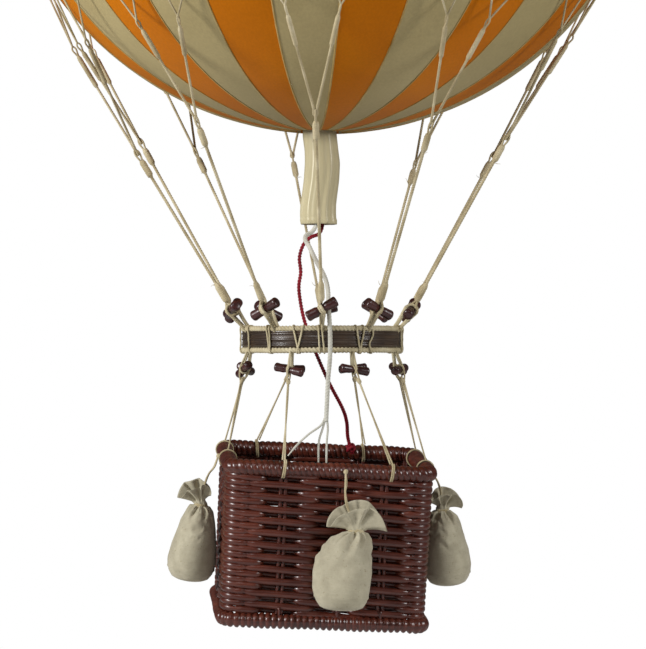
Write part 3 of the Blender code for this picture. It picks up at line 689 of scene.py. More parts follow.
# Stays, with served splices and eyes at both ends
def eye(a, b, side, spread, radius, step, section, both=True):
    """Two strands that leave a, spread sideways and close round b."""
    a, b = np.asarray(a, float), np.asarray(b, float)
    parts = []
    share = np.array((0.0, 0.25, 0.55, 0.8, 1.0))
    wide = np.array((0.35, 0.6, 0.95, 0.8, 0.0)) * spread
    left = a + (b - a) * share[:, None] + side * wide[:, None]
    right = a + (b - a) * share[:, None] - side * wide[:, None]
    loop = np.concatenate([left, right[::-1][1:]])
    parts.append(sweep(route(loop, step), radius, 9, section))
    return parts


def whiskers(build, centre, along, count, size, slot=0):
    """A few frayed yarn ends that stand out of a splice."""
    for _ in range(count):
        side = RNG.normal(size=3)
        side = unit(side - along * (side @ along))
        lift = RNG.uniform(-0.5, 0.9)
        start = centre + side * 0.0011
        tip = start + (side + along * lift) * size * RNG.uniform(0.5, 1.0)
        bend = (start + tip) / 2 + unit(RNG.normal(size=3)) * size * 0.15
        path = route([start, bend, tip], size / 5)
        build.add(sweep(path, np.linspace(0.00016, 0.00006, len(path)), 4), slot)


def spliced(build, path_points, radius, splice, start, end, step, sides, pitch):
    """A cord with its served splice between two distances along it."""
    path = evenly(path_points, step)
    distance = np.concatenate([[0.0], np.cumsum(np.linalg.norm(np.diff(path, axis=0), axis=1))])
    swell = np.interp(distance, (start, start + 1.6 * MM, end - 2.2 * MM, end), (0, 1, 1, 0))
    swell = swell * swell * (3 - 2 * swell)
    cord, wrap = laid(pitch, 0.38), served(1.0 * MM, 0.17)

    def section(along, angle):
        share = swell[:, None]
        return cord(along, angle) * (1 - share) + wrap(along, angle) * share * splice / radius
    build.add(sweep(path, radius, sides, section))


def stay(i):
    fork_bearing, fork_level, left, right, node_level, slope = STAYS[i]
    fork_level, node_level = fork_level * MM, node_level * MM
    bearing = 36.0 * i
    seat = at_bearing(bearing, UPPER_RING, UPPER_LEVEL, HOOP_X)
    fork = at_bearing(fork_bearing, UPPER_RING + (fork_level - UPPER_LEVEL) * slope, fork_level, HOOP_X / 2)
    along = unit(fork - seat)
    outward = at_bearing(bearing, 1.0, 0.0)
    outward = unit(outward - along * (outward @ along))
    tangent = np.cross(along, outward)
    turn = math.radians(UPPER_TILT[i])
    lie = unit(tangent * math.cos(turn) + along * math.sin(turn))
    around = unit(np.cross(lie, along))
    build = Build()
    cord = laid(2.4 * MM, 0.34)
    # The lower eye spreads round the toggle's waist
    base = seat + along * 5.4 * MM
    waist = 2.15 * MM
    loop = [base]
    for k in range(17):
        angle = math.radians(-150 + 300 * k / 16)
        loop.append(seat + around * (waist + 0.62 * MM) * math.sin(angle) * -1.0
                    + np.cross(lie, around) * (waist + 0.62 * MM) * math.cos(angle) * -1.0
                    * (1 if np.cross(lie, around) @ along > 0 else -1) + lie * 0.45 * MM * math.sin(angle / 2))
    loop.append(base)
    build.add(sweep(route(loop, 0.3 * MM), 0.6 * MM, 9, cord))
    # The main cord, from the lower splice up to the one below the fork
    length = float(np.linalg.norm(fork - seat))
    lower_start, lower_end = 4.6 * MM, 15.5 * MM
    upper_start, upper_end = length - 15.5 * MM, length - 6.4 * MM
    radius = STAY_RADIUS * (1.0 + 0.06 * math.cos(math.radians(bearing)))
    path = evenly(np.stack([seat + along * lower_start, fork - along * 6.0 * MM]), 0.4 * MM)
    distance = lower_start + np.arange(len(path)) * (length - 6.0 * MM - lower_start) / (len(path) - 1)
    low = np.interp(distance, (lower_start, 6.2 * MM, 12.5 * MM, lower_end), (0.55, 1, 0.85, 0))
    high = np.interp(distance, (upper_start, upper_start + 2.0 * MM, upper_end - 1.2 * MM, upper_end), (0, 0.9, 1, 0.6))
    swell = np.maximum(low, high)
    swell = swell * swell * (3 - 2 * swell)
    twist, wrap = laid(3.9 * MM, 0.4), served(1.05 * MM, 0.18)

    def section(at, angle):
        share = swell[:, None]
        return twist(at, angle) * (1 - share) + wrap(at, angle) * share * 1.62 * MM / radius
    build.add(sweep(path, radius, 12, section))
    whiskers(build, seat + along * (lower_end - 1.0 * MM), along, 1, 3.0 * MM)
    whiskers(build, seat + along * (upper_start + 0.5 * MM), along, 1, 2.6 * MM)
    # The upper eye, and the branch cord that loops through it
    for part in eye(fork - along * 6.6 * MM, fork + along * 0.2 * MM, outward, 1.15 * MM, 0.52 * MM, 0.3 * MM, cord):
        build.add(part)
    root = fork - along * 2.5 * MM
    nodes = []
    for node_bearing in (left, right):
        nodes.append(at_bearing(node_bearing, UPPER_RING + (node_level - UPPER_LEVEL) * slope, node_level, HOOP_X / 2))
    bend = []
    for node, sign in ((nodes[0], 1), (nodes[1], -1)):
        toward = unit(node - root)
        bend.append(root + toward * 3.0 * MM)
    bow = route([bend[0], root + unit(nodes[0] - nodes[1]) * 0.75 * MM + along * 0.4 * MM, root - along * 0.3 * MM,
                 root + unit(nodes[1] - nodes[0]) * 0.75 * MM + along * 0.4 * MM, bend[1]], 0.25 * MM)
    build.add(sweep(bow, 0.58 * MM, 9, cord))
    for node, start in zip(nodes, bend):
        toward = unit(node - start)
        reach = float(np.linalg.norm(node - start))
        spliced(build, np.stack([start, node - toward * 3.6 * MM]), BRANCH_RADIUS, 1.18 * MM, reach * 0.6, reach - 4.2 * MM,
                0.42 * MM, 10, 3.6 * MM)
        side = unit(np.cross(toward, node - ENVELOPE_CENTRE))
        inward = unit(np.cross(side, toward))
        for part in eye(node - toward * 4.4 * MM, node + toward * 0.3 * MM, inward, 0.9 * MM, 0.45 * MM, 0.28 * MM,
                        laid(2.2 * MM, 0.2)):
            build.add(part)
    build.make(f"stay_{i + 1:02d}", [ROPE], "natural_rope", (f"stay_{i + 1:02d}",))
    return nodes


V_NODES = []
for index in range(len(STAYS)):
    V_NODES += stay(index)


# Net over the envelope, from the stays' nodes up to a crown ring
def net_path(start, end, step=6.0 * MM, lift=0.0):
    """The line from one point to another over the envelope, straight until it touches and then lying on it."""
    a, b = np.asarray(start) - ENVELOPE_CENTRE, np.asarray(end) - ENVELOPE_CENTRE
    ra, rb = np.linalg.norm(a), np.linalg.norm(b)
    ua, ub = a / ra, b / rb
    omega = math.acos(float(np.clip(ua @ ub, -1, 1)))
    count = max(3, int(omega * ENVELOPE_RADIUS / step) + 2)
    share = np.linspace(0, 1, count)
    directions = (np.sin((1 - share) * omega)[:, None] * ua + np.sin(share * omega)[:, None] * ub) / math.sin(omega)
    rest = ENVELOPE_RADIUS + NET_RADIUS + lift
    angle_on = math.acos(min(1.0, rest / ra)) if ra > rest else 0.0
    turn = share * omega
    radius = np.where(turn < angle_on, rest / np.cos(np.minimum(angle_on - turn, 1.2)), rest)
    radius = np.where(share == 0, max(ra, rest), radius)
    return ENVELOPE_CENTRE + directions * radius[:, None]


def net():
    order = sorted(range(len(V_NODES)), key=lambda k: math.atan2(V_NODES[k][0], -V_NODES[k][1]) % TAU)
    nodes = [V_NODES[k] for k in order]
    bearings = [math.degrees(math.atan2(p[0], -p[1])) for p in nodes]
    count = len(nodes)
    first = []
    for k in range(count):
        a, b = bearings[k], bearings[(k + 1) % count]
        gap = (b - a) % 360.0
        first.append(a + gap / 2)
    rows = [[ENVELOPE_CENTRE + unit(at_bearing(b, math.sin(math.radians(64)), -math.cos(math.radians(64))))
             * (ENVELOPE_RADIUS + NET_RADIUS) for b in first]]
    start_bearing = 18.0 * round(first[0] / 18.0 - 0.5) + 7.0
    for r, polar in enumerate((82, 100, 117, 133, 147, 159, 168)):
        level = []
        for k in range(count):
            share = min(1.0, (r + 1) / 2.0)
            regular = start_bearing + 18.0 * k + 9.0 * (r + 1) + 0.0
            bent = first[k] + 9.0 * (r + 1)
            b = bent + (((regular - bent + 9) % 18) - 9) * share
            direction = at_bearing(b, math.sin(math.radians(polar)), -math.cos(math.radians(polar)))
            level.append(ENVELOPE_CENTRE + unit(direction) * (ENVELOPE_RADIUS + NET_RADIUS))
        rows.append(level)
    build = Build()
    cord = laid(3.2 * MM, 0.22)

    def leg(a, b, fine):
        sides, step = (9, 0.5 * MM) if fine else (6, 4.0 * MM)
        path = net_path(a, b)
        if fine:
            path = evenly(path, step)
        build.add(sweep(path, NET_RADIUS, sides, cord if fine else None))

    for k in range(count):
        leg(nodes[k], rows[0][k], True)
        leg(nodes[k], rows[0][k - 1], True)
    for r in range(len(rows) - 1):
        for k in range(count):
            leg(rows[r][k], rows[r + 1][k], False)
            leg(rows[r][k], rows[r + 1][k - 1], False)
    ring = []
    for k in range(count):
        direction = unit(at_bearing(18.0 * k, math.sin(math.radians(172.2)), -math.cos(math.radians(172.2))))
        ring.append(ENVELOPE_CENTRE + direction * (ENVELOPE_RADIUS + 1.2 * MM))
    for k in range(count):
        target = min(ring, key=lambda p: np.linalg.norm(p - rows[-1][k]))
        leg(rows[-1][k], target, False)
    build.add(sweep(route(ring, 0.7 * MM, closed=True), 1.1 * MM, 12, laid(5.0 * MM, 0.2), closed=True))
    for row in rows:
        for p in row:
            outward = unit(p - ENVELOPE_CENTRE)
            build.add(ball(p + outward * 0.2 * MM, (1.15 * MM, 1.15 * MM, 0.9 * MM), outward))
    return build.make("net", [ROPE], "natural_rope")


def ball(centre, sizes, axis, rings=6, sides=8):
    """A small knot as a lumpy ball, with its third size along the axis."""
    first = unit(np.cross(axis, (0.3, 0.8, 0.52)))
    second = np.cross(axis, first)
    polar = np.linspace(0, math.pi, rings + 2)[1:-1]
    angle = TAU * np.arange(sides) / sides
    lump = 1 + 0.12 * np.cos(3 * angle[None] + 4 * polar[:, None])
    points = centre + (np.sin(polar)[:, None] * np.cos(angle) * lump * sizes[0])[..., None] * first \
        + (np.sin(polar)[:, None] * np.sin(angle) * lump * sizes[1])[..., None] * second \
        + (-np.cos(polar)[:, None] * np.ones(sides) * sizes[2])[..., None] * axis
    return skin(points)


net()


# Toggles, each two turned barrels with a waist between them
def toggle(name, centre, bearing, tilt, length, radius):
    half = length / 2
    outline = [(0.0, 1.0), (0.45, 0.995), (0.8, 0.97), (0.95, 0.93), (1.0, 0.87), (0.97, 0.78), (0.93, 0.6),
               (0.91, 0.42), (0.88, 0.32), (0.78, 0.24), (0.7, 0.17), (0.68, 0.08)]
    outline += [(r, -z) for r, z in reversed(outline)]
    profile = [(r * radius, z * half) for r, z in outline]
    lie = Matrix.Rotation(math.radians(bearing), 4, "Z") @ Matrix.Rotation(math.radians(90 - tilt), 4, "Y")
    matrix = Matrix.Translation(Vector(centre)) @ lie
    build = Build().add(turned(profile, 28, matrix))
    build.make(name, [TOGGLE], "toggle_wood", (name,))


for index, tilt in enumerate(UPPER_TILT):
    toggle(f"upper_toggle_{index + 1:02d}", at_bearing(36 * index, UPPER_RING, UPPER_LEVEL, HOOP_X), 36 * index, tilt,
           UPPER_LENGTH, UPPER_RADIUS * 0.92)
for index, tilt in enumerate(LOWER_TILT):
    bearing = 45.0 * (index + 0.5)
    toggle(f"lower_toggle_{index + 1:02d}", at_bearing(bearing, LOWER_RING, LOWER_LEVEL, HOOP_X), bearing, tilt,
           LOWER_LENGTH, LOWER_RADIUS * 0.95)


# Load hoop: a band of cane strands between two twisted ropes, lashed together
def ring_path(radius, level, step, wobble=0.0):
    count = int(TAU * radius / step)
    angle = TAU * np.arange(count) / count
    lift = wobble * (np.sin(3 * angle + 0.7) + 0.6 * np.sin(7 * angle + 2.0))
    return np.stack([HOOP_X + radius * np.sin(angle), -radius * np.cos(angle), level + lift], axis=1)


def hoop_band():
    build = Build()
    top, bottom = HOOP_TOP - HOOP_ROPE * 0.75, HOOP_BOTTOM + HOOP_ROPE * 0.75
    strands = 9
    pitch = (top - bottom) / strands
    for k in range(strands):
        level = top - pitch * (k + 0.5)
        depth = 0.25 * MM * math.sin(2.1 * k)
        path = ring_path(HOOP_RADIUS + 0.35 * MM + depth, level, 2.4 * MM, 0.05 * MM)
        build.add(sweep(path, pitch * 0.56, 10, closed=True, up=UP, flat=1.0))
    core = [(1.0, top), (1.0, bottom), (-1.0, bottom), (-1.0, top)]
    count = 96
    angle = TAU * np.arange(count) / count
    rings = np.stack([np.stack([HOOP_X + (HOOP_RADIUS + o * 0.7 * MM) * np.sin(angle),
                                -(HOOP_RADIUS + o * 0.7 * MM) * np.cos(angle), np.full(count, z)], axis=1)
                      for o, z in core], axis=1)
    build.add(skin(rings[:, ::-1], closed=True))
    return build.make("hoop_band", [CANE], "hoop_cane", ("hoop_band",))


hoop_band()


def becket(build, bearing, hoop_level, seat, lie_tilt, waist, spread, radius):
    """A doubled cord from the hoop's rope that goes round a toggle's waist."""
    start = at_bearing(bearing, HOOP_RADIUS, hoop_level, HOOP_X)
    tangent = at_bearing(bearing + 90, 1.0, 0.0)
    to_seat = unit(seat - start)
    lie = unit(tangent * math.cos(math.radians(lie_tilt)) + UP * math.sin(math.radians(lie_tilt)))
    out = unit(np.cross(lie, to_seat))
    over = unit(np.cross(out, lie))
    if over @ to_seat < 0:
        over = -over
    reach = float(np.linalg.norm(seat - start))
    loop = [start + out * spread * 0.9 - to_seat * 1.0 * MM, start + out * spread * 1.1 + to_seat * reach * 0.35,
            seat + out * (waist + radius) * 0.97 - over * 0.7 * MM]
    for k in range(5):
        angle = math.radians(10 + 160 * k / 4)
        loop.append(seat + out * (waist + radius) * math.cos(angle) + over * (waist + radius) * math.sin(angle))
    loop += [seat - out * (waist + radius) * 0.97 - over * 0.7 * MM, start - out * spread * 1.1 + to_seat * reach * 0.35,
             start - out * spread * 0.9 - to_seat * 1.0 * MM]
    build.add(sweep(route(loop, 0.34 * MM), radius, 10, laid(2.6 * MM, 0.34)))


def lashing(build, bearing, lean, radius=0.36, sway=0.0):
    """A closed turn of thin cord round both ropes and the band."""
    points = []
    top, bottom = HOOP_TOP + HOOP_ROPE, HOOP_BOTTOM - HOOP_ROPE
    outer, inner = HOOP_RADIUS + HOOP_ROPE + 0.2 * MM, HOOP_RADIUS - HOOP_ROPE - 0.2 * MM
    for r, z in ((outer - 0.5 * MM, top - 0.2 * MM), (outer, HOOP_TOP - 0.4 * MM), (outer - 0.25 * MM, HOOP_TOP - 3 * MM),
                 (outer - 0.15 * MM, (top + bottom) / 2), (outer - 0.25 * MM, HOOP_BOTTOM + 3 * MM),
                 (outer, HOOP_BOTTOM + 0.4 * MM), (outer - 0.6 * MM, bottom + 0.1 * MM), (inner + 0.6 * MM, bottom + 0.1 * MM),
                 (inner, HOOP_BOTTOM + 0.3 * MM), (inner, HOOP_TOP - 0.3 * MM), (inner + 0.6 * MM, top - 0.1 * MM)):
        share = (top - z) / (top - bottom)
        turn = bearing + lean * (share - 0.5) + sway * math.sin(TAU * share)
        points.append(at_bearing(turn, r + 0.12 * MM, z, HOOP_X))
    path = route(points, 0.3 * MM, closed=True)
    build.add(sweep(path, radius * MM, 7, laid(1.6 * MM, 0.2), closed=True))


def hoop_ropes():
    for name, level, seed in (("hoop_rope_upper", HOOP_TOP, 0.3), ("hoop_rope_lower", HOOP_BOTTOM, 1.9)):
        build = Build()
        path = ring_path(HOOP_RADIUS, level, 0.4 * MM, 0.08 * MM)
        length = TAU * HOOP_RADIUS
        build.add(sweep(path, HOOP_ROPE * 1.06, 16, laid(length / 42, 0.38), closed=True, up=UP))
        if name == "hoop_rope_upper":
            for i in range(10):
                seat = at_bearing(36 * i, UPPER_RING, UPPER_LEVEL, HOOP_X)
                becket(build, 36.0 * i, level, seat, UPPER_TILT[i], 1.75 * MM, 1.25 * MM, 0.82 * MM)
        else:
            for i in range(8):
                bearing = 45.0 * (i + 0.5)
                seat = at_bearing(bearing, LOWER_RING, LOWER_LEVEL, HOOP_X)
                becket(build, bearing, level, seat, LOWER_TILT[i], 1.4 * MM, 0.9 * MM, 0.55 * MM)
        build.make(name, [BRAID], "natural_rope", (name,))
    build = Build()
    for bearing, lean, sway in ((-62.7, 2, 0), (-40.6, 3, 0), (-38.9, 1, 0), (-18.2, 4.5, 0), (-15.2, -4.5, 0),
                                (-1.9, 1, 0), (0.9, 2, 0), (26.0, 3, 0), (29.2, -2, 0.5), (36.5, 2, 2.2),
                                (95, 3, 0), (120, -3, 0), (150, 3, 0), (172, -4, 0), (200, 4, 0), (222, 2, 0),
                                (250, -3, 0), (273, 2, 0), (76, 2, 0)):
        lashing(build, bearing, lean, 0.46, sway)
    build.make("hoop_lashings", [BRAID], "natural_rope")


hoop_ropes()


# Basket, in its own tilted frame
def rounded(width, depth, corner, step):
    """Points round a rectangle with rounded corners, with the outward direction at each."""
    points, normals = [], []
    half_x, half_y = width / 2 - corner, depth / 2 - corner
    corners = ((half_x, -half_y, -90), (half_x, half_y, 0), (-half_x, half_y, 90), (-half_x, -half_y, 180))
    for i, (x, y, start) in enumerate(corners):
        turns = max(4, int(math.ceil(corner * math.pi / 2 / step)))
        for k in range(turns):
            angle = math.radians(start + 90 * k / turns)
            points.append((x + corner * math.cos(angle), y + corner * math.sin(angle)))
            normals.append((math.cos(angle), math.sin(angle)))
        end = math.radians(start + 90)
        a = np.array((x + corner * math.cos(end), y + corner * math.sin(end)))
        nx, ny, start_next = corners[(i + 1) % 4]
        b = np.array((nx + corner * math.cos(math.radians(start_next)), ny + corner * math.sin(math.radians(start_next))))
        count = max(2, int(np.linalg.norm(b - a) / step))
        for k in range(count):
            points.append(tuple(a + (b - a) * k / count))
            normals.append((math.cos(end), math.sin(end)))
    return np.array(points), np.array(normals)


def border(name, width, depth, corner, radius, level, pitch, slant, depth_share, beads=0.0):
    """A border wrapped with canes all round, whose lower edge may be drawn out into beads."""
    points, _ = rounded(width, depth, corner, 0.42 * MM)
    path = np.concatenate([points, np.full((len(points), 1), level)], axis=1)
    closed = np.concatenate([path, path[:1]])
    total = path_length(closed)
    true_pitch = total / round(total / pitch)
    path = evenly(closed, 0.42 * MM, closed=True)

    def section(distance, angle):
        turn = np.floor(distance / true_pitch - slant * angle / TAU)
        phase = distance / true_pitch - slant * angle / TAU
        wave = np.abs(np.cos(math.pi * phase)) ** 0.6
        loose = 0.035 * np.sin(12.9898 * turn + 0.7) + 0.02 * np.sin(distance / (2.3 * MM))
        low = np.clip(-np.sin(angle) - 0.35, 0, 1) + 0.0 * distance
        return 1.0 - depth_share * (1.0 - wave) + loose + beads * low * (wave - 0.35)
    build = Build()
    skin_points, quads, tris = sweep(path, radius, 24, section, closed=True, up=UP)
    build.add((to_world(BASKET, skin_points), quads, tris))
    return build.make(name, [WICKER], "wicker", (name,))


border("basket_rim", RIM[0], RIM[1], RIM[2], RIM[3] * 1.04, 0.0, 2.8 * MM, 2, 0.2)
border("basket_foot", FOOT[0], FOOT[1], FOOT[2], FOOT[3] * 1.04, -BASKET_HEIGHT, 2.88 * MM, 0, 0.26, 0.3)


# Where even and odd rows of the weave pass behind a stake: from and to along each wall, in millimetres
WEAVE = {
    "front": (((-30.3, -12.6), (19.2, 35.1)), ((-37.8, -35.9), (-5.1, 13.2), (38.4, 41.0))),
    "right": (((-21.0, -4.0), (15.0, 24.0)), ((-29.0, -27.6), (-4.0, 13.0), (27.5, 29.0))),
    "back": (((-33.0, -17.0), (12.0, 30.0)), ((-39.0, -37.4), (-17.0, 12.0), (36.4, 38.4))),
    "left": (((-24.0, -9.0), (9.0, 22.0)), ((-29.0, -27.4), (-9.0, 9.0), (27.0, 29.0))),
}


def basket_weave():
    """One long weaver that goes round and round, in front of one stake and behind the next, and the stakes."""
    half_x, half_y, corner = 46.6 * MM, 38.4 * MM, 7.4 * MM
    outline, normals = rounded(2 * half_x, 2 * half_y, corner, 1.2 * MM)
    ring = np.concatenate([outline, outline[:1]])
    distance = np.concatenate([[0.0], np.cumsum(np.linalg.norm(np.diff(ring, axis=0), axis=1))])
    total = distance[-1]
    # The turn begins in the middle of the left wall and goes round by the front
    start = int(np.argmin(np.hypot(outline[:, 0] + half_x, outline[:, 1])))
    outline, normals = np.roll(outline, -start, 0), np.roll(normals, -start, 0)
    distance = np.concatenate([distance[start:-1], distance[:start] + total]) - distance[start]
    arc = corner * math.pi / 2
    long_wall, short_wall = 2 * (half_x - corner), 2 * (half_y - corner)
    middles = {"left": 0.0, "front": short_wall / 2 + arc + long_wall / 2}
    middles["right"] = middles["front"] + long_wall / 2 + arc + short_wall / 2
    middles["back"] = middles["right"] + short_wall / 2 + arc + long_wall / 2

    def swing(parity):
        """How far the weaver lies out or in, as a share, all round one turn."""
        out = np.ones(len(distance))
        for wall, spans in WEAVE.items():
            for a, b in spans[parity]:
                centre, half = middles[wall] + (a + b) / 2 * MM, (b - a) / 2 * MM
                off = np.abs((distance - centre + total / 2) % total - total / 2)
                soft = 2.1 * MM
                edge = np.clip((off - half + soft) / (2 * soft), 0, 1)
                floor = -1.0 if half > 4 * MM else 0.1
                out = np.minimum(out, floor + (1 - floor) * (0.5 - 0.5 * np.cos(math.pi * edge)))
        return out

    shares = (swing(0), swing(1))
    corner_at = middles["front"] - long_wall / 2 - arc / 2
    drop = np.interp(distance, (0.0, corner_at, corner_at + long_wall + arc, middles["back"] - long_wall / 2,
                                middles["back"] + long_wall / 2, total),
                     (0.12, 0.0, -4.13, -3.2, -3.2, -2.705)) * MM
    pieces, thick = [], []
    pitch = 2.825 * MM
    beads = np.ones(len(distance))
    for wall in ("front", "back"):
        for end in (-1, 1):
            off = np.abs(distance - middles[wall] - end * (long_wall + arc) / 2)
            beads += 0.1 * np.exp(-(off / (1.6 * MM)) ** 2) - 0.2 * np.exp(-((off - 3.9 * MM) / (1.2 * MM)) ** 2)
    for k in range(-1, 23):
        share = shares[k % 2]
        join = np.clip(distance / (6 * MM), 0, 1)
        share = share * join + shares[(k - 1) % 2][-1] * (1 - join)
        level = -1.065 * MM - pitch * (k + 1) + drop
        level = level + (0.15 * np.sin(distance / (11 * MM) + k * 2.3) + 0.09 * np.sin(distance / (4.7 * MM) + k)) * MM
        taper = WALL_TAPER / 2 * np.clip(-level / BASKET_HEIGHT, 0, 1)
        # The weaver is thick where it runs in front and thins as it dives behind a stake
        pieces.append(np.concatenate([outline + normals * (1.35 * MM * share - taper)[:, None], level[:, None]], axis=1))
        thick.append(pitch * (0.53 + 0.075 * np.clip(share, -0.6, 1)) * beads
                     * (1 + 0.03 * np.sin(distance / (17 * MM) + k * 1.3)))
    path, thick = np.concatenate(pieces), np.concatenate(thick)
    build = Build()
    points, quads, tris = sweep(path, thick, 9, up=UP)
    centre = np.repeat(path, 9, axis=0)
    flat = np.tile(np.repeat(np.concatenate([normals, np.zeros((len(normals), 1))], axis=1), 9, axis=0), (24, 1))
    offset = points[:len(centre)] - centre
    points[:len(centre)] -= flat * np.sum(offset * flat, axis=1, keepdims=True) * 0.36
    build.add((to_world(BASKET, points), quads, tris), 0)
    top, bottom = -1.5 * MM, 2.0 * MM - BASKET_HEIGHT

    def rod(x, y, lean, radius, low=bottom, high=top):
        """One stake from the rim to the foot. lean is how far its lower end stands to the right."""
        inward = np.array((math.copysign(1.0, x) if abs(x) > half_x - 1 * MM else 0.0,
                           math.copysign(1.0, y) if abs(y) > half_y - 1 * MM else 0.0)) * (WALL_TAPER / 2)
        head = np.array((x, y, high))
        foot = np.array((x + lean - inward[0], y - inward[1], low))
        pts, quads_, tris_ = sweep(line(head, foot, 1.5 * MM), radius, 10)
        build.add((to_world(BASKET, pts), quads_, tris_), 1)

    for x in (-22.0, 4.7, 25.2):
        for s in (-1.15, 1.15):
            rod((x + s) * MM, -half_y, 1.2 * MM, 0.95 * MM)
            rod((-x * 0.97 + s) * MM, half_y, -1.0 * MM, 0.95 * MM)
    for y in (-12.4, 4.4, 16.5):
        for s in (-1.1, 1.1):
            rod(half_x, (y + s) * MM, 0.0, 0.9 * MM)
            rod(-half_x, (-y + s) * MM, 0.0, 0.9 * MM)
    near = corner * 0.3
    for sx in (-1, 1):
        for sy in (-1, 1):
            rod(sx * (half_x - corner * 0.95), sy * half_y, 0.6 * MM, 0.85 * MM)
            rod(sx * half_x, sy * (half_y - corner * 1.2), 0.0, 0.85 * MM)
            rod(sx * (half_x - near), sy * (half_y - near), 0.0, 1.0 * MM)
            rod(sx * (half_x - near - 1.3 * MM), sy * (half_y - near + 0.9 * MM), 0.0, 0.9 * MM)
    # The stakes' own ends show before the foot at the front
    for x in (-21.0, 6.0, 26.4):
        rod(x * MM, -half_y - 1.9 * MM, 0.1 * MM, 0.75 * MM, 0.5 * MM - BASKET_HEIGHT, 6.5 * MM - BASKET_HEIGHT)
    return build.make("basket_wall", [WICKER, STAKE], "wicker", ("basket_wall",))


basket_weave()


def basket_floor():
    """Slats side by side, with their edges rounded."""
    build = Build()
    count = 11
    width, depth = 83.0 * MM, 65.0 * MM
    top = FOOT[3] + GAP + 3.0 * MM - BASKET_HEIGHT
    for k in range(count):
        y = -depth / 2 + depth * (k + 0.5) / count
        half = depth / count / 2 - 0.12 * MM
        edge = 0.5 * MM
        short = 5.5 * MM if k in (0, count - 1) else 0.0
        profile = [(-half, top - 2.6 * MM), (half, top - 2.6 * MM), (half, top - edge), (half - edge, top),
                   (-half + edge, top), (-half, top - edge)]
        rings = np.array([[(x, y + py, pz) for py, pz in profile]
                          for x in np.linspace(-width / 2 + short, width / 2 - short, 12)])
        points, quads, tris = skin(rings[:, ::-1])
        build.add((to_world(BASKET, points), quads, tris))
    obj = build.make("basket_floor", [PLANK], "floor_wood", ("basket_floor",))
    obj.data.shade_flat()
    return obj


basket_floor()


# Lines from the lower toggles to the rim, each a doubled cord that is taken round the rim
def basket_line(i):
    foot_x, foot_y = LINE_FEET[i]
    bearing = 45.0 * (i + 0.5)
    seat = at_bearing(bearing, LOWER_RING, LOWER_LEVEL, HOOP_X)
    if abs(foot_x) > 46.0:
        n = np.array((math.copysign(1.0, foot_x), 0.0))
    else:
        n = np.array((0.0, math.copysign(1.0, foot_y)))
    side = np.array((-n[1], n[0]))
    build = Build()
    cord = laid(1.7 * MM, 0.2)
    foot = np.array((foot_x, foot_y)) * MM
    reach_out = RIM[3] + 0.42 * MM
    top = to_world(BASKET, np.array((*foot, reach_out)))
    down = unit(top - seat)
    outward = at_bearing(bearing, 1.0, 0.0)
    out = unit(outward - down * (outward @ down))
    tilt = math.radians(LOWER_TILT[i])
    tangent = unit(np.cross(down, out))
    lie = unit(tangent * math.cos(tilt) + np.cross(tangent, out) * math.sin(tilt))
    cross = unit(np.cross(lie, out))
    reach = float(np.linalg.norm(top - seat))
    # The upper loop goes over the toggle's waist, and a short splice closes it
    waist = 1.5 * MM + 0.42 * MM
    loop = [seat + down * 6.5 * MM + out * 0.3 * MM, seat + down * 3.0 * MM + out * waist * 0.85]
    for k in range(7):
        angle = math.radians(0 + 180 * k / 6)
        loop.append(seat + out * waist * math.cos(angle) - down * waist * math.sin(angle) + lie * 0.3 * MM)
    loop += [seat + down * 3.0 * MM - out * waist * 0.85, seat + down * 6.5 * MM - out * 0.3 * MM]
    build.add(sweep(route(loop, 0.3 * MM), 0.42 * MM, 8, cord))
    # Two strands run down to the rim and round it
    for s in (-1, 1):
        start = seat + down * (6.0 - 0.5 * s) * MM + out * s * 0.42 * MM
        end = to_world(BASKET, np.array((*(foot + side * s * 0.55 * MM), reach_out)))
        bow = tangent * s * 0.25 * MM
        middle = (start + end) / 2 + bow
        points = [start, start + (middle - start) * 0.5 + bow * 0.4, middle, middle + (end - middle) * 0.6, end]
        path = route(points, 0.36 * MM)
        build.add(sweep(path, 0.4 * MM, 8, cord))
    knot = seat + down * 5.6 * MM
    build.add(ball(knot, (1.05 * MM, 1.05 * MM, 1.6 * MM), down, 7, 10))
    around = []
    for turn in (-0.75, 0.0, 0.75):
        points = []
        for k in range(20):
            angle = TAU * k / 20
            r = reach_out
            xy = foot + side * (turn + 0.4 * math.sin(angle)) * MM + n * r * math.cos(angle)
            points.append((*xy, r * math.sin(angle)))
        path = route(points, 0.36 * MM, closed=True)
        pts, quads, tris = sweep(path, 0.4 * MM, 7, cord, closed=True)
        around.append((to_world(BASKET, pts), quads, tris))
    for each in around[1:]:
        build.add(each)
    name = f"basket_line_{i + 1:02d}"
    build.make(name, [ROPE], "natural_rope", (name,))


for index in range(8):
    basket_line(index)


# Sandbags, each on a string from the rim
# A bag's half width, half depth, height from the neck, and how far its middle is still drawn to the neck's side
BAG_OUTLINE = (
    (3.3, 2.8, 0.0, 1.0), (5.2, 3.9, -1.1, 0.9), (8.5, 5.4, -3.7, 0.62), (11.5, 6.8, -7.6, 0.32),
    (13.7, 8.9, -13.0, 0.08), (14.4, 10.8, -20.0, 0.0), (14.1, 11.7, -27.5, -0.06), (12.9, 11.1, -32.4, 0.0),
    (10.4, 9.0, -35.7, 0.03), (7.9, 6.8, -36.8, 0.03), (4.5, 3.9, -37.1, 0.03), (0.9, 0.8, -37.1, 0.03),
)
BAG_FRAMES = 24

# Each collar: the side that its neck is drawn to, the turn of its fan, and the fan's middle, spread and three lengths
COLLARS = {
    "front": (5.5, 0, 4, 80, (13.6, 14.2, 14.4)),
    "right": (0.0, -90, 14, 64, (8.6, 11.4, 9.6)),
    "back": (-2.5, 15, 0, 70, (12.5, 14.5, 12.5)),
    "left": (0.0, 90, -20, 52, (12.6, 12.8, 8.6)),
}


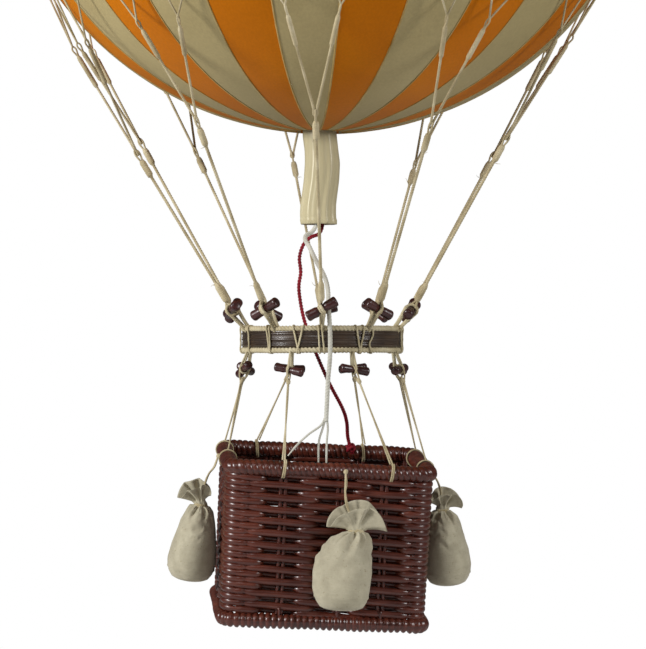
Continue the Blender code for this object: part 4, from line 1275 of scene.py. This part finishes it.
def inflate(name, points, rest, quads, tris, pinned):
    """Runs cloth with pressure on an enlarged copy, and gives its points where they have settled."""
    enlarge = 20.0
    mesh = bpy.data.meshes.new(f"{name}_cloth")
    mesh.from_pydata((points * enlarge).tolist(), [], quads.tolist() + tris.tolist())
    copy = bpy.data.objects.new(f"{name}_cloth", mesh)
    scene = bpy.context.scene
    scene.collection.objects.link(copy)
    copy.shape_key_add(name="Basis")
    sewn = copy.shape_key_add(name="sewn")
    sewn.data.foreach_set("co", (rest * enlarge).astype(np.float32).ravel())
    copy.vertex_groups.new(name="tied").add([int(i) for i in pinned], 1.0, "REPLACE")
    cloth = copy.modifiers.new("Cloth", "CLOTH")
    settings = cloth.settings
    settings.quality = 6
    settings.mass = 0.3
    settings.tension_stiffness = settings.compression_stiffness = 40.0
    settings.shear_stiffness = 8.0
    settings.bending_stiffness = 0.12
    settings.air_damping = 1.5
    settings.vertex_group_mass = "tied"
    settings.rest_shape_key = sewn
    settings.use_pressure = True
    settings.uniform_pressure_force = 4.0
    settings.effector_weights.gravity = 0.0
    cloth.collision_settings.use_collision = False
    cloth.collision_settings.use_self_collision = False
    cloth.point_cache.frame_start = 1
    cloth.point_cache.frame_end = BAG_FRAMES
    for number in range(1, BAG_FRAMES + 1):
        scene.frame_set(number)
    shape = copy.evaluated_get(bpy.context.evaluated_depsgraph_get()).to_mesh()
    settled = np.empty(len(points) * 3, np.float32)
    shape.vertices.foreach_get("co", settled)
    scene.frame_set(1)
    bpy.data.objects.remove(copy)
    bpy.data.meshes.remove(mesh)
    move = settled.reshape(-1, 3) / enlarge - points
    length = np.linalg.norm(move, axis=1, keepdims=True)
    return points + move * np.minimum(1.0, 2.2 * MM / np.maximum(length, 1e-9))


def bag_body(name, shift, rng, sides):
    """The filled part from the neck down: its rings after the cloth has settled."""
    outline = np.array(BAG_OUTLINE)
    length = np.concatenate([[0.0], np.cumsum(np.hypot(*np.diff(outline[:, (0, 2)], axis=0).T))])
    marks = np.concatenate([np.linspace(0.0, length[9], 50), np.linspace(length[9], length[-1], 9)[1:]])
    width, thick, level, drawn = (np.interp(marks, length, outline[:, k]) for k in range(4))
    angle = TAU * np.arange(sides) / sides
    wave = np.zeros(sides)
    for count, weight in ((4, 0.5), (7, 0.9), (10, 1.0), (15, 0.55)):
        wave = wave + weight * np.cos(count * angle + rng.uniform(0, TAU))
    gather = np.minimum(marks / 1.5, 1.0) * np.exp(-(marks / 10.5) ** 1.5) + 0.3 * np.exp(-marks / 2.0)
    ripple = 0.15 * gather[:, None] * wave[None]
    slump = 0.02 * np.sin(marks / 5.0 + rng.uniform(0, TAU))[:, None] * np.cos(2 * angle + rng.uniform(0, TAU))[None]
    swell = 0.97 * (1 + ripple + slump)
    drift = -1.2 * np.clip(-level / 27.0, 0, 1)
    points = np.stack([(shift * drawn)[:, None] + swell * width[:, None] * np.sin(angle),
                       drift[:, None] - swell * thick[:, None] * np.cos(angle),
                       np.repeat(level[:, None], sides, axis=1)], axis=-1) * MM
    sewn_radius = np.where(marks <= length[9], 13.9, width * 1.04)[:, None]
    sewn_level = -np.minimum(marks, length[9] + 0.3)[:, None] * 1.03
    rest = np.stack([sewn_radius * np.sin(angle), -sewn_radius * np.cos(angle),
                     np.repeat(sewn_level, sides, axis=1)], axis=-1) * MM
    flat, quads, tris = skin(points)
    flat_rest, _, _ = skin(rest)
    pinned = np.concatenate([np.arange(2 * sides), [len(flat) - 2]])
    settled = inflate(name, flat, flat_rest, quads[:, ::-1], tris[:, ::-1], pinned)
    rings = settled[:-2].reshape(points.shape).copy()
    # The seam round the bottom is a small groove between the wall and the round base
    seam = np.exp(-((marks - length[7]) / 0.5) ** 2)[:, None] - 0.6 * np.exp(-((marks - length[7] + 1.2) / 0.6) ** 2)[:, None]
    middle = rings.mean(axis=1, keepdims=True)
    out = unit((rings - middle) * np.array((1.0, 1.0, 0.0)) + np.array((0.0, 0.0, 1e-9)))
    # Deep creases run down from the tie and fade over the shoulders
    crease = np.zeros(rings.shape[:2])
    for at, fade, depth in ((-0.55, 7.0, 0.9), (-0.12, 13.0, 1.3), (0.3, 9.0, 1.0), (0.85, 8.0, 0.9), (1.9, 8.0, 0.9),
                            (2.7, 11.0, 1.1), (3.5, 8.0, 0.8), (4.4, 9.0, 1.0), (5.2, 8.0, 0.9)):
        off = (angle[None] - at - 0.22 * np.sin(marks / 6.0 + at)[:, None] + math.pi) % TAU - math.pi
        start = np.clip(marks / 2.0, 0, 1) * np.exp(-(marks / fade) ** 2)
        crease += 0.8 * depth * start[:, None] * (np.exp(-(off / 0.13) ** 2) - 0.45 * np.exp(-((np.abs(off) - 0.26) / 0.13) ** 2))
    return rings - out * ((seam * 0.4 + crease) * MM)[..., None]


def collar(neck, name, rng, inner):
    """The cloth above the tie: a pleated fan in two layers, open at its edge."""
    shift, fan, middle, spread, lengths = COLLARS[name]
    sides = len(neck)
    angle = TAU * np.arange(sides) / sides - math.radians(fan)
    side, front = np.sin(angle), np.cos(angle)
    share = (np.linspace(0.22, 0.985, 14) if inner else np.linspace(0.0, 1.0, 26))[:, None]
    opened = np.clip(share / 0.45, 0, 1)
    opened = opened * opened * (3 - 2 * opened)
    swing = np.radians(middle + spread * (side + 0.07 * np.sin(9 * side + 1.0)))
    reach = np.interp(side, (-1.0, 0.15, 1.0), lengths) * (1 + 0.045 * np.sin(6.0 * side + rng[0]))
    # The layer towards the front is turned down, so that the back layer's inner face shows over it
    reach = reach * (1 - 0.27 * np.clip(front, 0, 1) ** 0.6 / (1 + np.exp((side - 0.35) / 0.1)))
    layer = np.where(front > 0, 0.0, 1.7)
    pleats = np.sin(10.5 * side + rng[1] + layer) + 0.5 * np.sin(17 * side + rng[2] - layer)
    depth = (1.5 + 2.8 * share + 0.95 * share ** 0.7 * pleats - (0.75 if inner else 0.0)) * opened
    hem = 0.22 * (1 / (1 + np.exp(-(share - 0.8) / 0.012))) * (0 if inner else 1) - 0.12 * np.exp(-((share - 0.8) / 0.02) ** 2)
    away = front * depth + np.sign(front) * np.abs(front) ** 0.5 * hem
    # The edge folds a little outward, more on the side that hangs
    curl = 2.6 * share ** 3 * (0.35 + 0.65 * np.clip(side, 0, 1))
    across_fan = share * reach * np.sin(swing)
    up_fan = share * reach * np.cos(swing) - curl * np.abs(side) * 0.8
    turn = math.radians(fan)
    right, ahead = np.array((math.cos(turn), math.sin(turn), 0.0)), np.array((math.sin(turn), -math.cos(turn), 0.0))
    offset = across_fan[..., None] * right + (away + curl * 0.8)[..., None] * ahead + up_fan[..., None] * UP
    centre = np.array((shift, 0.0, 0.0)) * MM
    return centre + (neck - centre)[None] * (1 - opened)[..., None] + offset * MM


def sandbag(name, x, y, turn, lean, neck_drop, seed):
    matrix = BASKET @ Matrix.Translation((x * MM, y * MM, 0.0)) @ Matrix.Rotation(math.radians(turn), 4, "Z") \
        @ Matrix.Translation((0.0, -BAG_PIVOT_OUT * MM, 0.0))
    centre_y = (BAG_PIVOT_OUT - BAG_NECK_OUT) * MM
    hang = matrix @ Matrix.Translation((0.0, centre_y, -neck_drop * MM)) @ Matrix.Rotation(math.radians(-lean), 4, "X")
    rng = np.random.default_rng(seed)
    sides = 120
    shift = COLLARS[name][0]
    body = bag_body(f"sandbag_{name}", shift, rng, sides)
    phases = rng.uniform(0, TAU, 3)
    outer = collar(body[0], name, phases, False)
    inner = collar(body[0], name, phases, True)
    rings = np.concatenate([inner, outer[::-1], body[1:]])
    build = Build()
    skin_points, quads, tris = skin(rings)
    build.add((to_world(hang, skin_points), quads[:, ::-1], tris[:, ::-1]))
    obj = build.make(f"sandbag_{name}", [LINEN], "linen", (f"sandbag_{name}",), f"{name}_sandbag")
    # The string: from the rim down between the collar's layers, and round the neck
    cords = Build()
    rope = laid(2.0 * MM, 0.24)
    start = np.array(hang.inverted() @ (matrix @ Vector((0, 0, 0))))
    path = route([start, start * np.array((1, 0.75, 0.78)), start * np.array((1, 0.35, 0.62)),
                  np.array((shift * 0.35 * MM, 0.5 * MM, 8.5 * MM)), np.array((shift * 0.8 * MM, 0.2 * MM, 3.5 * MM)),
                  np.array((shift * MM, 0.0, 0.3 * MM))], 0.33 * MM)
    pts, quads, tris = sweep(path, 0.5 * MM, 9, rope)
    cords.add((to_world(hang, pts), quads, tris))
    pts, quads, tris = sweep(path + np.array((0.55, 0.25, 0.0)) * MM * np.sin(np.linspace(0, 9, len(path)))[:, None],
                             0.36 * MM, 8, rope)
    cords.add((to_world(hang, pts), quads, tris))
    turns = []
    for k in range(43):
        step = TAU * k / 14
        turns.append((shift * MM + 3.45 * MM * math.sin(step), -3.45 * MM * math.cos(step) * 0.84,
                      (0.5 - 0.55 * k / 14) * MM))
    pts, quads, tris = sweep(route(turns, 0.33 * MM), 0.36 * MM, 8, rope)
    cords.add((to_world(hang, pts), quads, tris))
    knot = to_world(hang, start + np.array((0.0, 0.2, 0.4)) * MM)
    cords.add(ball(knot, (1.1 * MM, 1.0 * MM, 1.2 * MM), UP, 8, 12))
    cords.make(f"bag_string_{name}", [ROPE], "natural_rope", (f"bag_string_{name}",), f"{name}_sandbag")


for index, (name, x, y, turn, lean, drop) in enumerate(BAGS):
    sandbag(name, x, y, turn, lean, drop, 11 + index)


# Floor, lights and the white surround
def studio():
    scene = bpy.context.scene
    scene.view_settings.view_transform = "Standard"
    world = bpy.data.worlds.new("surround")
    scene.world = world
    world.use_nodes = True
    tree = world.node_tree
    tree.nodes.clear()
    path = put(tree, "ShaderNodeLightPath")
    glossy = put(tree, "ShaderNodeBackground", Color=(1.0, 0.94, 0.9, 1.0), Strength=0.1)
    soft = put(tree, "ShaderNodeBackground", Color=(1.0, 1.0, 1.0, 1.0), Strength=0.11)
    plain = put(tree, "ShaderNodeBackground", Color=(1.0, 1.0, 1.0, 1.0), Strength=1.0)
    one = put(tree, "ShaderNodeMixShader", Fac=path.outputs["Is Glossy Ray"])
    tree.links.new(soft.outputs[0], one.inputs[1])
    tree.links.new(glossy.outputs[0], one.inputs[2])
    two = put(tree, "ShaderNodeMixShader", Fac=path.outputs["Is Camera Ray"])
    tree.links.new(one.outputs[0], two.inputs[1])
    tree.links.new(plain.outputs[0], two.inputs[2])
    out = put(tree, "ShaderNodeOutputWorld")
    tree.links.new(two.outputs[0], out.inputs["Surface"])
    for name, side, power in (("key_light", -1, 16.5), ("fill_light", 1, 8.2)):
        data = bpy.data.lights.new(name, "AREA")
        data.shape = "DISK"
        data.size = 0.28
        data.energy = power
        lamp = bpy.data.objects.new(name, data)
        lamp.location = (side * 1.123, -0.597, -0.06)
        aim = Vector((0.0, 0.0, -0.33)) - lamp.location
        lamp.rotation_euler = aim.to_track_quat("-Z", "Y").to_euler()
        scene.collection.objects.link(lamp)
    data = bpy.data.lights.new("top_light", "AREA")
    data.shape = "DISK"
    data.size = 0.45
    data.energy = 2.6
    lamp = bpy.data.objects.new("top_light", data)
    lamp.location = (-0.2, -1.12, 0.36)
    aim = Vector((0.0, 0.0, -0.5)) - lamp.location
    lamp.rotation_euler = aim.to_track_quat("-Z", "Y").to_euler()
    scene.collection.objects.link(lamp)
    bpy.ops.mesh.primitive_circle_add(vertices=96, radius=0.62, fill_type="NGON", location=(0.0, 0.0, -0.66))
    floor = bpy.context.object
    floor.name = "floor"
    mat, tree, shader, place = start_material("pale_floor", Roughness=0.8)
    tree.links.new(ramp(tree, noise(tree, place, 3.0), ((0.3, (0.78, 0.78, 0.78)), (0.7, (0.82, 0.82, 0.82)))),
                   shader.inputs["Base Color"])
    floor.data.materials.append(mat)


studio()
